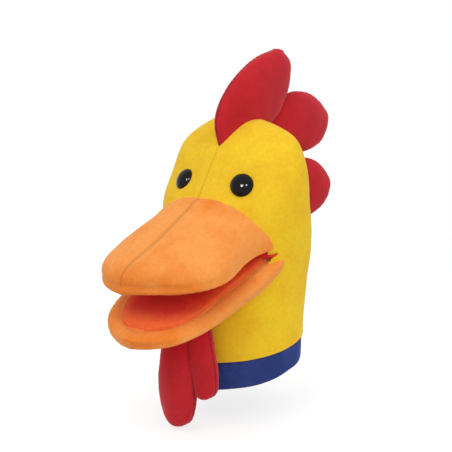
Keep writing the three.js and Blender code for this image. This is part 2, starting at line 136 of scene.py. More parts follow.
# %% Grids to meshes
def link(name, data):
    obj = bpy.data.objects.new(name, data)
    bpy.context.scene.collection.objects.link(obj)
    return obj


def grid_object(name, points, caps=(True, True), ends_meet=False):
    """A mesh from points[along][round]. caps closes its first and last ring with a fan, and
    ends_meet joins the last ring to the first, for a ring-shaped piece."""
    rows, cols = points.shape[:2]
    index = np.arange(rows * cols).reshape(rows, cols)
    faces = []
    for i in range(rows if ends_meet else rows - 1):
        for j in range(cols):
            k, n = (j + 1) % cols, (i + 1) % rows
            faces.append((index[i, j], index[i, k], index[n, k], index[n, j]))
    verts = [tuple(v) for v in points.reshape(-1, 3)]
    for ring, wanted in ((0, caps and caps[0]), (-1, caps and caps[1])):
        if not wanted:
            continue
        verts.append(tuple(points[ring].mean(0)))
        for j in range(cols):
            pair = (index[ring, (j + 1) % cols], index[ring, j])
            faces.append((len(verts) - 1, *(pair if ring == 0 else pair[::-1])))
    mesh = bpy.data.meshes.new(name)
    mesh.from_pydata(verts, [], [tuple(int(v) for v in face) for face in faces])
    mesh.update()
    return link(name, mesh)


def coords(obj):
    flat = np.empty(len(obj.data.vertices) * 3, np.float32)
    obj.data.vertices.foreach_get("co", flat)
    return flat.reshape(-1, 3).astype(float)


def set_coords(obj, points):
    obj.data.vertices.foreach_set("co", np.asarray(points, np.float32).ravel())
    obj.data.update()


def normals(obj):
    flat = np.empty(len(obj.data.vertices) * 3, np.float32)
    obj.data.vertices.foreach_get("normal", flat)
    return flat.reshape(-1, 3).astype(float)


def face_outward(obj, centre):
    """Turns the faces so that most of them look away from the centre."""
    away = ((coords(obj) - np.asarray(centre)) * normals(obj)).sum(1).mean()
    if away < 0:
        obj.data.flip_normals()
    return obj


def store(obj, name, values):
    """Keeps one number for each point, for the materials."""
    values = np.asarray(values, np.float32).ravel()
    full = np.zeros(len(obj.data.vertices), np.float32)
    full[: len(values)] = values
    layer = obj.data.attributes.get(name) or obj.data.attributes.new(name, "FLOAT", "POINT")
    layer.data.foreach_set("value", full)


def apply_modifiers(obj):
    bpy.context.view_layer.update()
    evaluated = obj.evaluated_get(bpy.context.evaluated_depsgraph_get())
    mesh = bpy.data.meshes.new_from_object(evaluated)
    obj.modifiers.clear()
    obj.data = mesh
    return obj


def thicken(obj, thickness):
    """Gives a cloth panel its thickness, inwards from the drawn face."""
    solid = obj.modifiers.new("cloth", "SOLIDIFY")
    solid.thickness = thickness
    solid.offset = -1
    return apply_modifiers(obj)


def smooth_shade(obj):
    for polygon in obj.data.polygons:
        polygon.use_smooth = True
    return obj


def remember_rest(obj):
    """Stores where each point lies at rest, so that the pile doesn't slide over a bent piece."""
    layer = obj.data.attributes.new("rest", "FLOAT_VECTOR", "POINT")
    layer.data.foreach_set("vector", coords(obj).astype(np.float32).ravel())


# %% [markdown]
# ## Seams and soft creases
# Where two panels are sewn, the thread pulls a narrow groove and the cloth on each side gathers in
# small puckers, a few millimetres apart and never quite even. Stuffed cloth also has wide, soft
# hollows. Both are moves of the points along their normals, so they are real shape and show in the
# outline too. A bump map alone would leave the outline perfectly smooth, which reads as plastic.

# %% Seam and crease helpers
def lumps(points, size, seed=0.0):
    """Smooth noise from -1 to 1 at each point; size is the width of a lump in metres."""
    shift = Vector((seed, seed * 1.7, seed * 0.6))
    return np.array([noise.noise(Vector(p) / size + shift) for p in points])


def seam_distance(points, column):
    """For a grid, each point's distance round to one column, and the length along it."""
    steps = np.linalg.norm(np.roll(points, -1, axis=1) - points, axis=2)
    ahead = np.roll(steps, -column, axis=1)
    reach = np.concatenate([np.zeros((len(points), 1)), np.cumsum(ahead, axis=1)[:, :-1]], axis=1)
    total = ahead.sum(axis=1, keepdims=True)
    near = np.minimum(reach, total - reach)
    run = np.linalg.norm(np.diff(points[:, column], axis=0), axis=1)
    along = np.concatenate([[0], np.cumsum(run)])
    return np.roll(near, column, axis=1), np.repeat(along[:, None], points.shape[1], axis=1)


def puckers(along, seed, spacing=4.6 * MM):
    """An uneven wave along a seam, about one gather each spacing."""
    drift = 0.9 * np.sin(along / (spacing * 2.7) + seed)
    drift = drift + 0.6 * np.sin(along / (spacing * 5.3) + 2 * seed)
    strength = 0.6 + 0.4 * np.sin(along / (spacing * 4.1) + 3 * seed)
    return strength * np.sin(2 * math.pi * along / spacing + 2 * drift)


def sew(obj, distance, along, seed, depth=0.7 * MM, width=1.3 * MM, gather=0.22 * MM, reach=6 * MM):
    """Sinks a seam into a grid piece, gathers the cloth beside it and returns the seam's mask,
    which the velours use to darken the groove as painted shade.
    """
    count = distance.size
    points, out = coords(obj), normals(obj)
    groove = -depth * bell(distance, width)
    ripple = gather * bell(distance, reach) * puckers(along, seed) * soft(distance, 0, width)
    move = (groove + ripple).ravel()
    points[:count] += out[:count] * move[:, None]
    set_coords(obj, points)
    return bell(distance, 0.75 * MM)


def nudge(points, brushes):
    """Moves points like a soft sculpting brush: centre, radius and move in millimetres."""
    moved = points.copy()
    for centre, radius, offset in brushes:
        gap = np.linalg.norm(points - np.array(centre) * MM, axis=-1)
        moved += bell(gap, radius * MM)[..., None] * np.array(offset) * MM
    return moved


def crease(points, start, end, width, depth):
    """How far each point moves for a soft fold along a line; a negative depth is a hollow."""
    a, b = np.array(start) * MM, np.array(end) * MM
    line = b - a
    t = np.clip((points - a) @ line / (line @ line), 0, 1)
    gap = np.linalg.norm(points - (a + t[:, None] * line), axis=1)
    fade = np.sin(np.clip(t, 0.08, 0.92) * math.pi) ** 0.5
    return depth * MM * bell(gap, width * MM) * fade


# %% [markdown]
# ## Stuffing by cloth simulation
# A stuffed lobe is two flat panels that the filling pushes apart. Blender's Cloth with an inner
# pressure does the same: the seam is pinned, the pressure swells the panels, and the cloth settles
# into the full but slightly uneven form of a soft toy. The simulation runs without gravity for a
# few frames, and its move is capped, so that the piece keeps the size that its frame allows.

# %% Stuffing helper
STUFF_FRAMES = 14


def stuff(obj, held, pressure=3.0, cap=2.0 * MM):
    """Swells a closed mesh; held is 1 where the cloth is sewn down and 0 where it is free."""
    before = coords(obj)
    group = obj.vertex_groups.new(name="held")
    for i, weight in enumerate(held):
        if weight > 0.02:
            group.add([i], float(min(1, weight)), "REPLACE")
    cloth = obj.modifiers.new("filling", "CLOTH")
    settings = cloth.settings
    settings.quality = 5
    settings.mass = 0.15
    settings.tension_stiffness = 18
    settings.compression_stiffness = 18
    settings.shear_stiffness = 8
    settings.bending_stiffness = 0.6
    settings.air_damping = 3
    settings.use_pressure = True
    settings.uniform_pressure_force = pressure
    settings.vertex_group_mass = "held"
    settings.effector_weights.gravity = 0
    cloth.point_cache.frame_start = 1
    cloth.point_cache.frame_end = STUFF_FRAMES
    scene = bpy.context.scene
    for number in range(1, STUFF_FRAMES + 1):
        scene.frame_set(number)
    evaluated = obj.evaluated_get(bpy.context.evaluated_depsgraph_get())
    flat = np.empty(len(before) * 3, np.float32)
    evaluated.data.vertices.foreach_get("co", flat)
    after = flat.reshape(-1, 3).astype(float)
    obj.modifiers.clear()
    obj.vertex_groups.clear()
    scene.frame_set(1)
    move = after - before
    length = np.linalg.norm(move, axis=1, keepdims=True)
    limited = cap * np.tanh(length / cap)
    set_coords(obj, before + move * limited / np.maximum(length, 1e-9))
    print(f"{obj.name}: filling moved the cloth {limited.max() * 1000:.1f} mm at most")
    return obj


# %% [markdown]
# ## Pile, thread and wadding
# Velour has a short dense pile. Close up it is a fine grain of fibre tips; a little further off it
# shows brushed patches, where the pile lies another way and looks deeper or paler. Along a seam
# the pile lies flat, and the colour is darkened there as painted shade in the seam's groove. The
# Tone input also adds painted light and shade on some pieces. One node group makes all of this,
# and each velour places it with its own colours. The soft glow at the edges comes from the
# shader's own sheen, set as a plain number.

# %% Node helpers
def socket(group, name, kind, side, default=None):
    made = group.interface.new_socket(name=name, in_out=side, socket_type=kind)
    if default is not None:
        made.default_value = default
    return made


def node(tree, kind, **values):
    made = tree.nodes.new(kind)
    for key, value in values.items():
        setattr(made, key, value)
    return made


def wire(tree, source, target):
    tree.links.new(source, target)


def math_node(tree, operation, first, second, clamp=False):
    """A Math node; each value is a number or another node's output."""
    made = node(tree, "ShaderNodeMath", operation=operation, use_clamp=clamp)
    for slot, value in zip(made.inputs, (first, second)):
        if isinstance(value, (int, float)):
            slot.default_value = value
        else:
            wire(tree, value, slot)
    return made.outputs[0]


def mix_colour(tree, share, first, second, blend="MIX"):
    made = node(tree, "ShaderNodeMix", data_type="RGBA", blend_type=blend)
    for slot, value in ((made.inputs[0], share), (made.inputs[6], first), (made.inputs[7], second)):
        if isinstance(value, (int, float, tuple)):
            slot.default_value = value
        else:
            wire(tree, value, slot)
    return made.outputs[2]


def noise_node(tree, place, scale, detail=2.0, rough=0.5):
    made = node(tree, "ShaderNodeTexNoise")
    made.inputs["Scale"].default_value = scale
    made.inputs["Detail"].default_value = detail
    made.inputs["Roughness"].default_value = rough
    wire(tree, place, made.inputs["Vector"])
    return made.outputs["Fac"]


# %% The pile group
def pile_group():
    group = bpy.data.node_groups.new("velour_pile", "ShaderNodeTree")
    socket(group, "Place", "NodeSocketVector", "INPUT")
    socket(group, "Colour", "NodeSocketColor", "INPUT", (0.5, 0.5, 0.5, 1))
    socket(group, "Brushed and shading colour", "NodeSocketColor", "INPUT", (0.5, 0.5, 0.5, 1))
    socket(group, "Tone", "NodeSocketFloat", "INPUT", 0.0)
    socket(group, "Seam", "NodeSocketFloat", "INPUT", 0.0)
    socket(group, "Seam shade strength", "NodeSocketFloat", "INPUT", 0.5)
    socket(group, "Colour", "NodeSocketColor", "OUTPUT")
    socket(group, "Roughness", "NodeSocketFloat", "OUTPUT")
    socket(group, "Height", "NodeSocketFloat", "OUTPUT")
    given = node(group, "NodeGroupInput").outputs
    place, colour, brushed_and_shading = given[0], given[1], given[2]
    tone, seam, seam_shade_strength = given[3], given[4], given[5]

    tips = noise_node(group, place, 2300, 3, 0.65)
    tufts = noise_node(group, place, 360, 3, 0.6)
    lie = noise_node(group, place, 46, 3, 0.55)
    patches = math_node(group, "MULTIPLY_ADD", lie, 2.6)
    patches.node.inputs[2].default_value = -0.95
    # Tone adds to the random brushed patches; on some pieces it carries painted light and shade.
    share = math_node(group, "ADD", patches, tone, clamp=True)
    laid_and_shaded = mix_colour(group, share, colour, brushed_and_shading)
    grain = math_node(group, "MULTIPLY_ADD", tips, 0.26)
    grain.node.inputs[2].default_value = 0.87
    tufted = math_node(group, "MULTIPLY_ADD", tufts, 0.30)
    tufted.node.inputs[2].default_value = 0.85
    shade = math_node(group, "MULTIPLY", grain, tufted)
    # Painted shade: the colour is darkened along each seam's groove.
    seam_shade = math_node(group, "MULTIPLY", seam, seam_shade_strength)
    lit = math_node(group, "MULTIPLY", shade, math_node(group, "SUBTRACT", 1.0, seam_shade))
    grey = node(group, "ShaderNodeCombineColor")
    for slot in grey.inputs[:3]:
        wire(group, lit, slot)
    finished = mix_colour(group, 1.0, laid_and_shaded, grey.outputs[0], "MULTIPLY")
    dull = math_node(group, "MULTIPLY_ADD", tips, 0.12)
    dull.node.inputs[2].default_value = 0.84
    height = math_node(group, "ADD", math_node(group, "MULTIPLY", tips, 0.6), tufts)
    flat = math_node(group, "MULTIPLY", height, math_node(group, "SUBTRACT", 1.0, seam))
    out = node(group, "NodeGroupOutput").inputs
    wire(group, finished, out["Colour"])
    wire(group, dull, out["Roughness"])
    wire(group, flat, out["Height"])
    return group


PILE = pile_group()
print("node group:", PILE.name)

# %% [markdown]
# ## The velours
# Each velour is one material. The Place input reads the stored rest position, so the pile stays put
# when the beak moves. Sheen gives the pale rim that pile has where it is seen edge on, and it
# is tinted towards the dye, because the light passes through coloured fibres first.

# %% Velour materials
def attribute(tree, name, vector=False):
    made = node(tree, "ShaderNodeAttribute", attribute_name=name)
    return made.outputs["Vector" if vector else "Fac"]


def velour(name, colour, brushed_and_shading, sheen, tint, seam_shade_strength=0.5, sheen_rough=0.45):
    material = bpy.data.materials.new(name)
    material.use_nodes = True
    tree = material.node_tree
    shader = tree.nodes["Principled BSDF"]
    pile = node(tree, "ShaderNodeGroup", node_tree=PILE)
    pile.inputs["Colour"].default_value = (*colour, 1)
    pile.inputs["Brushed and shading colour"].default_value = (*brushed_and_shading, 1)
    pile.inputs["Seam shade strength"].default_value = seam_shade_strength
    wire(tree, attribute(tree, "rest", True), pile.inputs["Place"])
    wire(tree, attribute(tree, "tone"), pile.inputs["Tone"])
    wire(tree, attribute(tree, "seam"), pile.inputs["Seam"])
    wire(tree, pile.outputs["Colour"], shader.inputs["Base Color"])
    wire(tree, pile.outputs["Roughness"], shader.inputs["Roughness"])
    bump = node(tree, "ShaderNodeBump")
    bump.inputs["Strength"].default_value = 0.5
    bump.inputs["Distance"].default_value = 0.00035
    wire(tree, pile.outputs["Height"], bump.inputs["Height"])
    wire(tree, bump.outputs["Normal"], shader.inputs["Normal"])
    shader.inputs["Specular IOR Level"].default_value = 0.12
    shader.inputs["Sheen Weight"].default_value = sheen
    shader.inputs["Sheen Roughness"].default_value = sheen_rough
    shader.inputs["Sheen Tint"].default_value = (*tint, 1)
    return material


YELLOW = velour(
    "yellow_velour", (0.82, 0.54, 0.016), (0.78, 0.44, 0.012),
    sheen=0.16, tint=(1.0, 0.85, 0.4), seam_shade_strength=0.2,
)
ORANGE = velour(
    "orange_velour", (0.83, 0.30, 0.062), (0.77, 0.20, 0.022),
    sheen=0.3, tint=(1.0, 0.7, 0.42), seam_shade_strength=0.25,
)
RED = velour(
    "red_velour", (0.50, 0.011, 0.018), (0.42, 0.008, 0.013), sheen=0.4, tint=(1.0, 0.4, 0.46)
)
MOUTH_RED = velour(
    "mouth_velour", (0.74, 0.030, 0.020), (0.80, 0.120, 0.026),
    sheen=0.2, tint=(1.0, 0.5, 0.3), seam_shade_strength=0.25,
)
BLUE = velour(
    "blue_velour", (0.017, 0.034, 0.160), (0.026, 0.050, 0.220), sheen=0.14, tint=(0.4, 0.55, 1.0)
)
print("velours:", 5)

# %% [markdown]
# ## Eyes, lining and wadding
# The eyes are polished black plastic, almost a mirror, with faint moulding ripples and a little
# dust that dulls them unevenly. The lining is a plain weave, made of two crossed bands of wave
# texture, and the wadding inside is loose white fibre, seen only past an edge.

# %% Hard and inner materials
def plain_material(name, rough, specular):
    material = bpy.data.materials.new(name)
    material.use_nodes = True
    tree = material.node_tree
    shader = tree.nodes["Principled BSDF"]
    shader.inputs["Roughness"].default_value = rough
    shader.inputs["Specular IOR Level"].default_value = specular
    return material, tree, shader


def add_bump(tree, shader, height, strength, distance):
    bump = node(tree, "ShaderNodeBump")
    bump.inputs["Strength"].default_value = strength
    bump.inputs["Distance"].default_value = distance
    wire(tree, height, bump.inputs["Height"])
    wire(tree, bump.outputs["Normal"], shader.inputs["Normal"])


def moulded(name, colour, dusty, rough, specular):
    material, tree, shader = plain_material(name, rough, specular)
    place = node(tree, "ShaderNodeTexCoord").outputs["Object"]
    dust = noise_node(tree, place, 420, 4, 0.6)
    wire(tree, mix_colour(tree, dust, (*colour, 1), (*dusty, 1)), shader.inputs["Base Color"])
    dull = math_node(tree, "MULTIPLY_ADD", dust, 0.06)
    dull.node.inputs[2].default_value = rough
    wire(tree, dull, shader.inputs["Roughness"])
    add_bump(tree, shader, noise_node(tree, place, 90, 1), 0.08, 0.0003)
    return material


def woven(name, colour):
    material, tree, shader = plain_material(name, 0.85, 0.2)
    place = node(tree, "ShaderNodeTexCoord").outputs["Object"]
    bands = []
    for direction in ("Z", "DIAGONAL"):
        wave = node(tree, "ShaderNodeTexWave", wave_type="BANDS", bands_direction=direction)
        wave.inputs["Scale"].default_value = 420
        wave.inputs["Distortion"].default_value = 0.6
        wave.inputs["Detail"].default_value = 1
        wire(tree, place, wave.inputs["Vector"])
        bands.append(wave.outputs["Fac"])
    weave = math_node(tree, "MAXIMUM", bands[0], bands[1])
    dark = tuple(value * 0.72 for value in colour)
    wire(tree, mix_colour(tree, weave, (*dark, 1), (*colour, 1)), shader.inputs["Base Color"])
    add_bump(tree, shader, weave, 0.5, 0.0002)
    shader.inputs["Sheen Weight"].default_value = 0.1
    return material


def fibre(name, colour):
    material, tree, shader = plain_material(name, 0.95, 0.1)
    place = node(tree, "ShaderNodeTexCoord").outputs["Object"]
    fluff = noise_node(tree, place, 300, 6, 0.7)
    dark = tuple(value * 0.8 for value in colour)
    wire(tree, mix_colour(tree, fluff, (*dark, 1), (*colour, 1)), shader.inputs["Base Color"])
    add_bump(tree, shader, fluff, 0.8, 0.0012)
    return material


EYE_BLACK = moulded("eye_plastic", (0.004, 0.0035, 0.0035), (0.008, 0.007, 0.007), 0.05, 0.15)
WASHER_WHITE = moulded("washer_plastic", (0.78, 0.76, 0.71), (0.70, 0.67, 0.60), 0.38, 0.5)
LINING = woven("lining_cloth", (0.69, 0.66, 0.58))
WADDING = fibre("wadding", (0.83, 0.82, 0.78))

# %% [markdown]
# ## The head's profile
# The head and its sleeve are one tall bag: a round sleeve at the hem, widest behind the beak, and a
# dome that is flatter at the face than at the back. The table holds the height, half width, half
# depth and centre of each section. The front half of a section is a little more pointed than the
# back half, because the face comes forward at the centre seam.

# %% Head sizes and surface
HEAD = [
    (-30, 50, 50, 0), (0, 50, 50, 0), (28, 51, 50.5, 0.5), (58, 53.5, 52, 2),
    (88, 57, 52.5, 4), (118, 60.5, 48, 6), (140, 61, 39.5, 9.5), (158, 55, 31, 12.5),
    (170.5, 45, 23.5, 15), (178.5, 31, 16, 16.5), (182.5, 16, 9, 17), (183.8, 2, 1.5, 17),
]
HEAD_NUDGES = [  # centre, radius and move: stuffing is never quite even
    ((50, 34, 134), 30, (-2.3, -2.1, 0)), ((-50, -20, 118), 29, (-3.8, -3.5, 0)),
    ((-46, -2, 162), 18, (-3.2, -1.6, 2.8)),
    ((-20, 12, 180), 18, (-1, 0, 3.5)), ((24, 20, 176), 20, (0, 0, -2.5)),
]
FACE_POWER, NAPE_POWER = 1.85, 2.15
SHOULDER_Z = 88  # below this height the rows follow the slanted hem
SHOULDER_T = 4 / 11  # where the table reaches that height
HEM_SLOPE, HEM_RISE = 0.15, -8.0  # the hem's plane: its slope and its height at y = 0
EDGE_SLOPE, EDGE_RISE = 0.135, 13.0  # the same for the lower edge of the yellow cloth
PROFILE_T = np.linspace(0, 1, 2001)
PROFILE_Z = spline(HEAD, PROFILE_T)[:, 0]


def head_point(t, angle, inset=0.0, height=None):
    """Points of the head in millimetres; height moves a row up or down without its size."""
    sizes, ahead = spline(HEAD, t), spline(HEAD, np.asarray(t) + 1e-3)
    behind = spline(HEAD, np.asarray(t) - 1e-3)
    run = np.hypot(ahead[..., 0] - behind[..., 0], ahead[..., 1] - behind[..., 1])
    sideways = (ahead[..., 0] - behind[..., 0]) / run
    upwards = (behind[..., 1] - ahead[..., 1]) / run
    width = np.maximum(1.0, sizes[..., 1] - inset * sideways)
    depth = np.maximum(0.8, sizes[..., 2] - inset * sideways)
    front = oval(angle, FACE_POWER)
    back = oval(angle, NAPE_POWER)
    behind_centre = np.sin(angle) >= 0
    across = np.where(behind_centre, back[0], front[0])
    along = np.where(behind_centre, back[1], front[1])
    z = (sizes[..., 0] if height is None else height) - inset * upwards
    return np.stack([width * across, sizes[..., 3] + depth * along, z + 0 * across], -1)


def hem_height(y, above=0.0):
    return HEM_SLOPE * y + HEM_RISE + above


def yellow_edge(y):
    return EDGE_SLOPE * y + EDGE_RISE


def head_grid(lower_edge, inset=0.0, low_rows=70, high_rows=100, cols=216, curl=()):
    """The head from its slanted lower edge to the crown; curl adds rows below that turn in."""
    angle = np.arange(cols) / cols * 2 * math.pi
    edge = lower_edge(head_point(np.full(cols, 0.1), angle, inset)[:, 1])
    rows = []
    for inward, rise in curl:
        t = np.interp(edge + rise, PROFILE_Z, PROFILE_T)
        rows.append(head_point(t, angle, inset + inward, edge + rise))
    for share in np.linspace(0, 1, low_rows, endpoint=False):
        z = edge + (SHOULDER_Z - edge) * share
        rows.append(head_point(np.interp(z, PROFILE_Z, PROFILE_T), angle, inset, z))
    for share in np.linspace(0, 1, high_rows):
        t = SHOULDER_T + (1 - SHOULDER_T) * share
        rows.append(head_point(np.full(cols, t), angle, inset))
    return nudge(np.array(rows) * MM, HEAD_NUDGES)


# %% [markdown]
# ## The beak's own frame
# Both halves of the beak are drawn in one flat frame: s runs forward from the fold, x across and h
# up from the mouth side. A half is then tilted about the fold, turned a little to the puppet's left
# and set at the mouth. The same move run backwards tells whether a point of the head's cloth lies
# inside the beak, which is how the mouth gets cut out of it.

# %% Beak frame
MOUTH = np.array([0, -11.5, 89.5])
BEAK_TURN = 5 * DEG
UPPER_TILT, LOWER_TILT = 11 * DEG, 24.5 * DEG
CORNER = 54.0  # half width of the slot cut for the mouth; the cheeks close it beyond
RIM = {1: 4.0, -1: 7.5}  # height of the widest line above the mouth side, upper and lower half
BEAK_POWER = 2.3
UPPER = [
    (-5, 46, 27), (3, 53, 37), (20, 48.5, 43), (36, 49.5, 38.5), (52, 54, 34), (66, 57, 29.5),
    (78, 55.5, 26), (87, 50, 23), (94, 40.5, 20.5), (100, 27.5, 17.5), (104, 15, 13.5), (106, 4, 8),
]
LOWER = [
    (-5, 47, 16), (3, 56, 21), (20, 55.5, 27.5), (37, 53.5, 26.5), (54, 51, 22.5), (70, 49, 19.5),
    (85, 45.5, 17.5), (98, 39, 15), (108.5, 29.5, 12.8), (116, 17, 10.8), (120, 5, 8.8),
]


def turn_matrix(tilt):
    ct, st, cb, sb = math.cos(tilt), math.sin(tilt), math.cos(BEAK_TURN), math.sin(BEAK_TURN)
    lean = np.array([[1, 0, 0], [0, ct, -st], [0, st, ct]])
    turn = np.array([[cb, -sb, 0], [sb, cb, 0], [0, 0, 1]])
    return turn @ lean


def place_beak(x, s, h, tilt):
    local = np.stack(np.broadcast_arrays(x, -np.asarray(s), h), -1)
    return (local @ turn_matrix(tilt).T + MOUTH) * MM


def beak_coords(points, tilt):
    local = (points / MM - MOUTH) @ turn_matrix(tilt)
    return local[..., 0], -local[..., 1], local[..., 2]


def beak_sizes(stations, s):
    table = np.array(stations, float)
    t = np.linspace(0, 1, 600)
    fine = spline(table, t)
    return np.interp(s, fine[:, 0], fine[:, 1]), np.interp(s, fine[:, 0], fine[:, 2])


def inside_beak(points, stations, side, tilt, margin):
    """True where a point lies deeper inside a half of the beak than the margin."""
    x, s, h = beak_coords(points, tilt)
    width, height = beak_sizes(stations, s)
    rim = RIM[side]
    up = side * h - rim
    reach = np.where(up > 0, height - rim, rim) - margin
    wide = np.maximum(width - margin, 1)
    level = np.abs(x / wide) ** BEAK_POWER + np.abs(up / np.maximum(reach, 1)) ** BEAK_POWER
    return (level < 1) & (s > -5) & (s < stations[-1][0] - margin)


def inside_mouth(points, upper_margin, lower_margin):
    """True where the beak, or the gap between its halves, takes the place of the head's cloth."""
    taken = inside_beak(points, UPPER, 1, UPPER_TILT, upper_margin)
    taken |= inside_beak(points, LOWER, -1, LOWER_TILT, lower_margin)
    x, s, h = beak_coords(points, UPPER_TILT)
    narrowing = soft(CORNER - np.abs(x), 0, 9)  # the slot closes to a point in each corner
    below = h < RIM[1] * narrowing
    x, s, h = beak_coords(points, LOWER_TILT)
    return taken | (below & (h > -RIM[-1] * narrowing) & (s > 1.5) & (np.abs(x) < CORNER))


def cut_mouth(obj, upper_margin, lower_margin):
    """Removes the faces of a head layer where the mouth goes through it."""
    mesh = bmesh.new()
    mesh.from_mesh(obj.data)
    centres = np.array([face.calc_center_median() for face in mesh.faces])
    gone = inside_mouth(centres, upper_margin, lower_margin)
    bmesh.ops.delete(mesh, geom=[f for f, cut in zip(mesh.faces, gone) if cut], context="FACES")
    mesh.to_mesh(obj.data)
    mesh.free()


# %% [markdown]
# ## The head's cover
# The cover is two velour halves sewn together down the centre, so a faint seam runs from the comb
# to the beak, under the beak to the hem, and down the back. Its lower edge curls in over the cuff.
# The buttons pull a dimple round each eye. Padding under the cloth keeps it smooth, with a few wide
# hollows where the face turns into the cheeks. The panel is thickened at the end, so it is real
# cloth with an inside.

# %% Head cover
EYE_SPOTS = {"left": 31.5, "right": -25.5}  # x of each eye; the face is turned with the beak
EYE_Z = 138.5
EYE_RADIUS = 8.9
HEM_FOLD = ((0.9, -0.5), (0.3, -0.35))  # inset and rise of the rows that curl in
COVER_MARGINS = 4, 5.5  # how far the cover reaches into each half; the lower closes furthest
LAYER_MARGINS = -6, -6  # the layers under the cover stop short of the beak instead
FACE_CREASES = [  # start, end, width and depth in millimetres
    ((-6, -24, 172), (-31, -30, 148), 7.0, -1.5),
    ((-20, -18, 174), (-42, -22, 150), 6.0, 1.0),
    ((-44, -30, 142), (-50, -36, 112), 6.5, -1.2),
    ((50, -30, 150), (58, -18, 108), 12.0, 1.2),
    ((44, -34, 62), (51, -10, 70), 7.0, -1.0),
    ((40, -32, 48), (52, -4, 36), 9.0, 0.9),
    ((-44, -30, 60), (-52, -6, 50), 8.0, -1.0),
    ((10, 52, 120), (6, 53, 60), 12.0, -1.0),
    ((-40, 34, 70), (-18, 50, 48), 8.0, -0.9),
    ((38, 36, 66), (16, 51, 50), 8.0, -0.9),
]


def face_seat(x, z):
    """A point of the face and the way it looks, in metres."""
    t = float(np.interp(z, PROFILE_Z, PROFILE_T))
    angles = np.linspace(1.02 * math.pi, 1.98 * math.pi, 1500)
    ring = head_point(np.full(1500, t), angles)
    k = int(np.argmin(np.abs(ring[:, 0] - x)))
    above = head_point(np.full(1500, t + 0.01), angles)[k]
    beside = ring[k + 3] - ring[k - 3]
    out = np.cross(beside, above - ring[k])
    return ring[k] * MM, out / np.linalg.norm(out)


def head_cover():
    grid = head_grid(yellow_edge, curl=HEM_FOLD)
    obj = grid_object("head_cover", grid, caps=(False, True))
    face_outward(obj, (0, 0.005, 0.09))
    cols = grid.shape[1]
    points, out = coords(obj), normals(obj)
    move = 0.35 * MM * lumps(points, 0.021, 3.0) + 0.6 * MM * lumps(points, 0.055, 8.0)
    for start, end, width, depth in FACE_CREASES:
        move += crease(points, start, end, width, depth)
    for x in EYE_SPOTS.values():
        gap = np.linalg.norm(points - face_seat(x, EYE_Z)[0], axis=1)
        move -= 1.3 * MM * bell(gap, 13 * MM)
    set_coords(obj, points + out * move[:, None])
    mask = 0
    for column, seed in ((3 * cols // 4, 1.3), (cols // 4, 4.1)):
        distance, along = seam_distance(grid, column)
        mask = mask + sew(obj, distance, along, seed, 0.3 * MM, 0.9 * MM, 0.1 * MM, 5 * MM)
    # The seam mask darkens the colour along both centre seams, as painted shade in their grooves.
    store(obj, "seam", mask)
    store(obj, "tone", 0.15 * lumps(points, 0.05, 5.0) - 0.1 * soft(points[:, 2], 0.09, 0.03))
    cut_mouth(obj, *COVER_MARGINS)
    thicken(obj, 1.3 * MM)
    return obj


def finish_piece(obj, material):
    """Gives a piece its material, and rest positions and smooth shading."""
    obj.data.materials.clear()
    obj.data.materials.append(material)
    smooth_shade(obj)
    remember_rest(obj)
    print(f"{obj.name}: {len(obj.data.vertices)} points")
    return obj


cover = finish_piece(head_cover(), YELLOW)
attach(cover, "head")
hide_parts("head_cover_left", "head_cover_right")

# %% [markdown]
# ## What is under the cover
# Under the velour lies a layer of wadding, and inside it the woven bag that the hand slides into.
# Both follow the same profile, a few millimetres further in, with a wider mouth cut out of them.
# They show only from below, but they close the sleeve as on the real puppet.

# %% Padding and hand lining
def inner_layer(name, inset, thickness, above_hem, material, ripple):
    grid = head_grid(lambda y: hem_height(y, above_hem), inset, 36, 50, 108)
    obj = grid_object(name, grid, caps=(False, True))
    face_outward(obj, (0, 0.005, 0.09))
    points = coords(obj)
    set_coords(obj, points + normals(obj) * (ripple * lumps(points, 0.03, inset))[:, None])
    cut_mouth(obj, *LAYER_MARGINS)
    thicken(obj, thickness)
    finish_piece(obj, material)
    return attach(obj, "head")


padding = inner_layer(
    "head_wadding", inset=2.4, thickness=4.4 * MM, above_hem=20.0,
    material=WADDING, ripple=0.1 * MM,
)
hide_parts("head_padding_left", "head_padding_right")
lining = inner_layer(
    "hand_bag", inset=7.7, thickness=0.9 * MM, above_hem=10.0,
    material=LINING, ripple=0.25 * MM,
)
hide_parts("hand_lining")

# %% [markdown]
# ## The cuff
# The blue cuff is one doubled band folded under at the hem. Its section, a narrow U of cloth, is
# swept round the sleeve. Real bands are never even, so the wall leans in and out by a fraction of a
# millimetre and gathers slightly where it is sewn under the yellow edge.

# %% Cuff
CUFF_EDGE = 21.0  # height of the yellow cloth's edge in this section, before the section is scaled
CUFF_SECTION = [  # inset from the sleeve's face and height above the hem, in millimetres
    (1.7, 23.0), (1.4, 20.0), (1.3, 16.0), (1.2, 11.0), (1.2, 6.0), (1.3, 3.0), (1.8, 1.0),
    (3.2, 0.1), (5.4, 0.0), (7.6, 0.3), (9.0, 1.4), (9.6, 3.2), (9.7, 7.0), (9.5, 12.4),
    (8.9, 13.6), (8.2, 12.6), (8.1, 7.0), (7.8, 3.9), (6.9, 2.8), (5.6, 2.4), (4.3, 2.7),
    (3.5, 3.8), (3.2, 7.0), (3.1, 12.0), (3.3, 18.0), (3.4, 23.0), (2.6, 23.8),
]


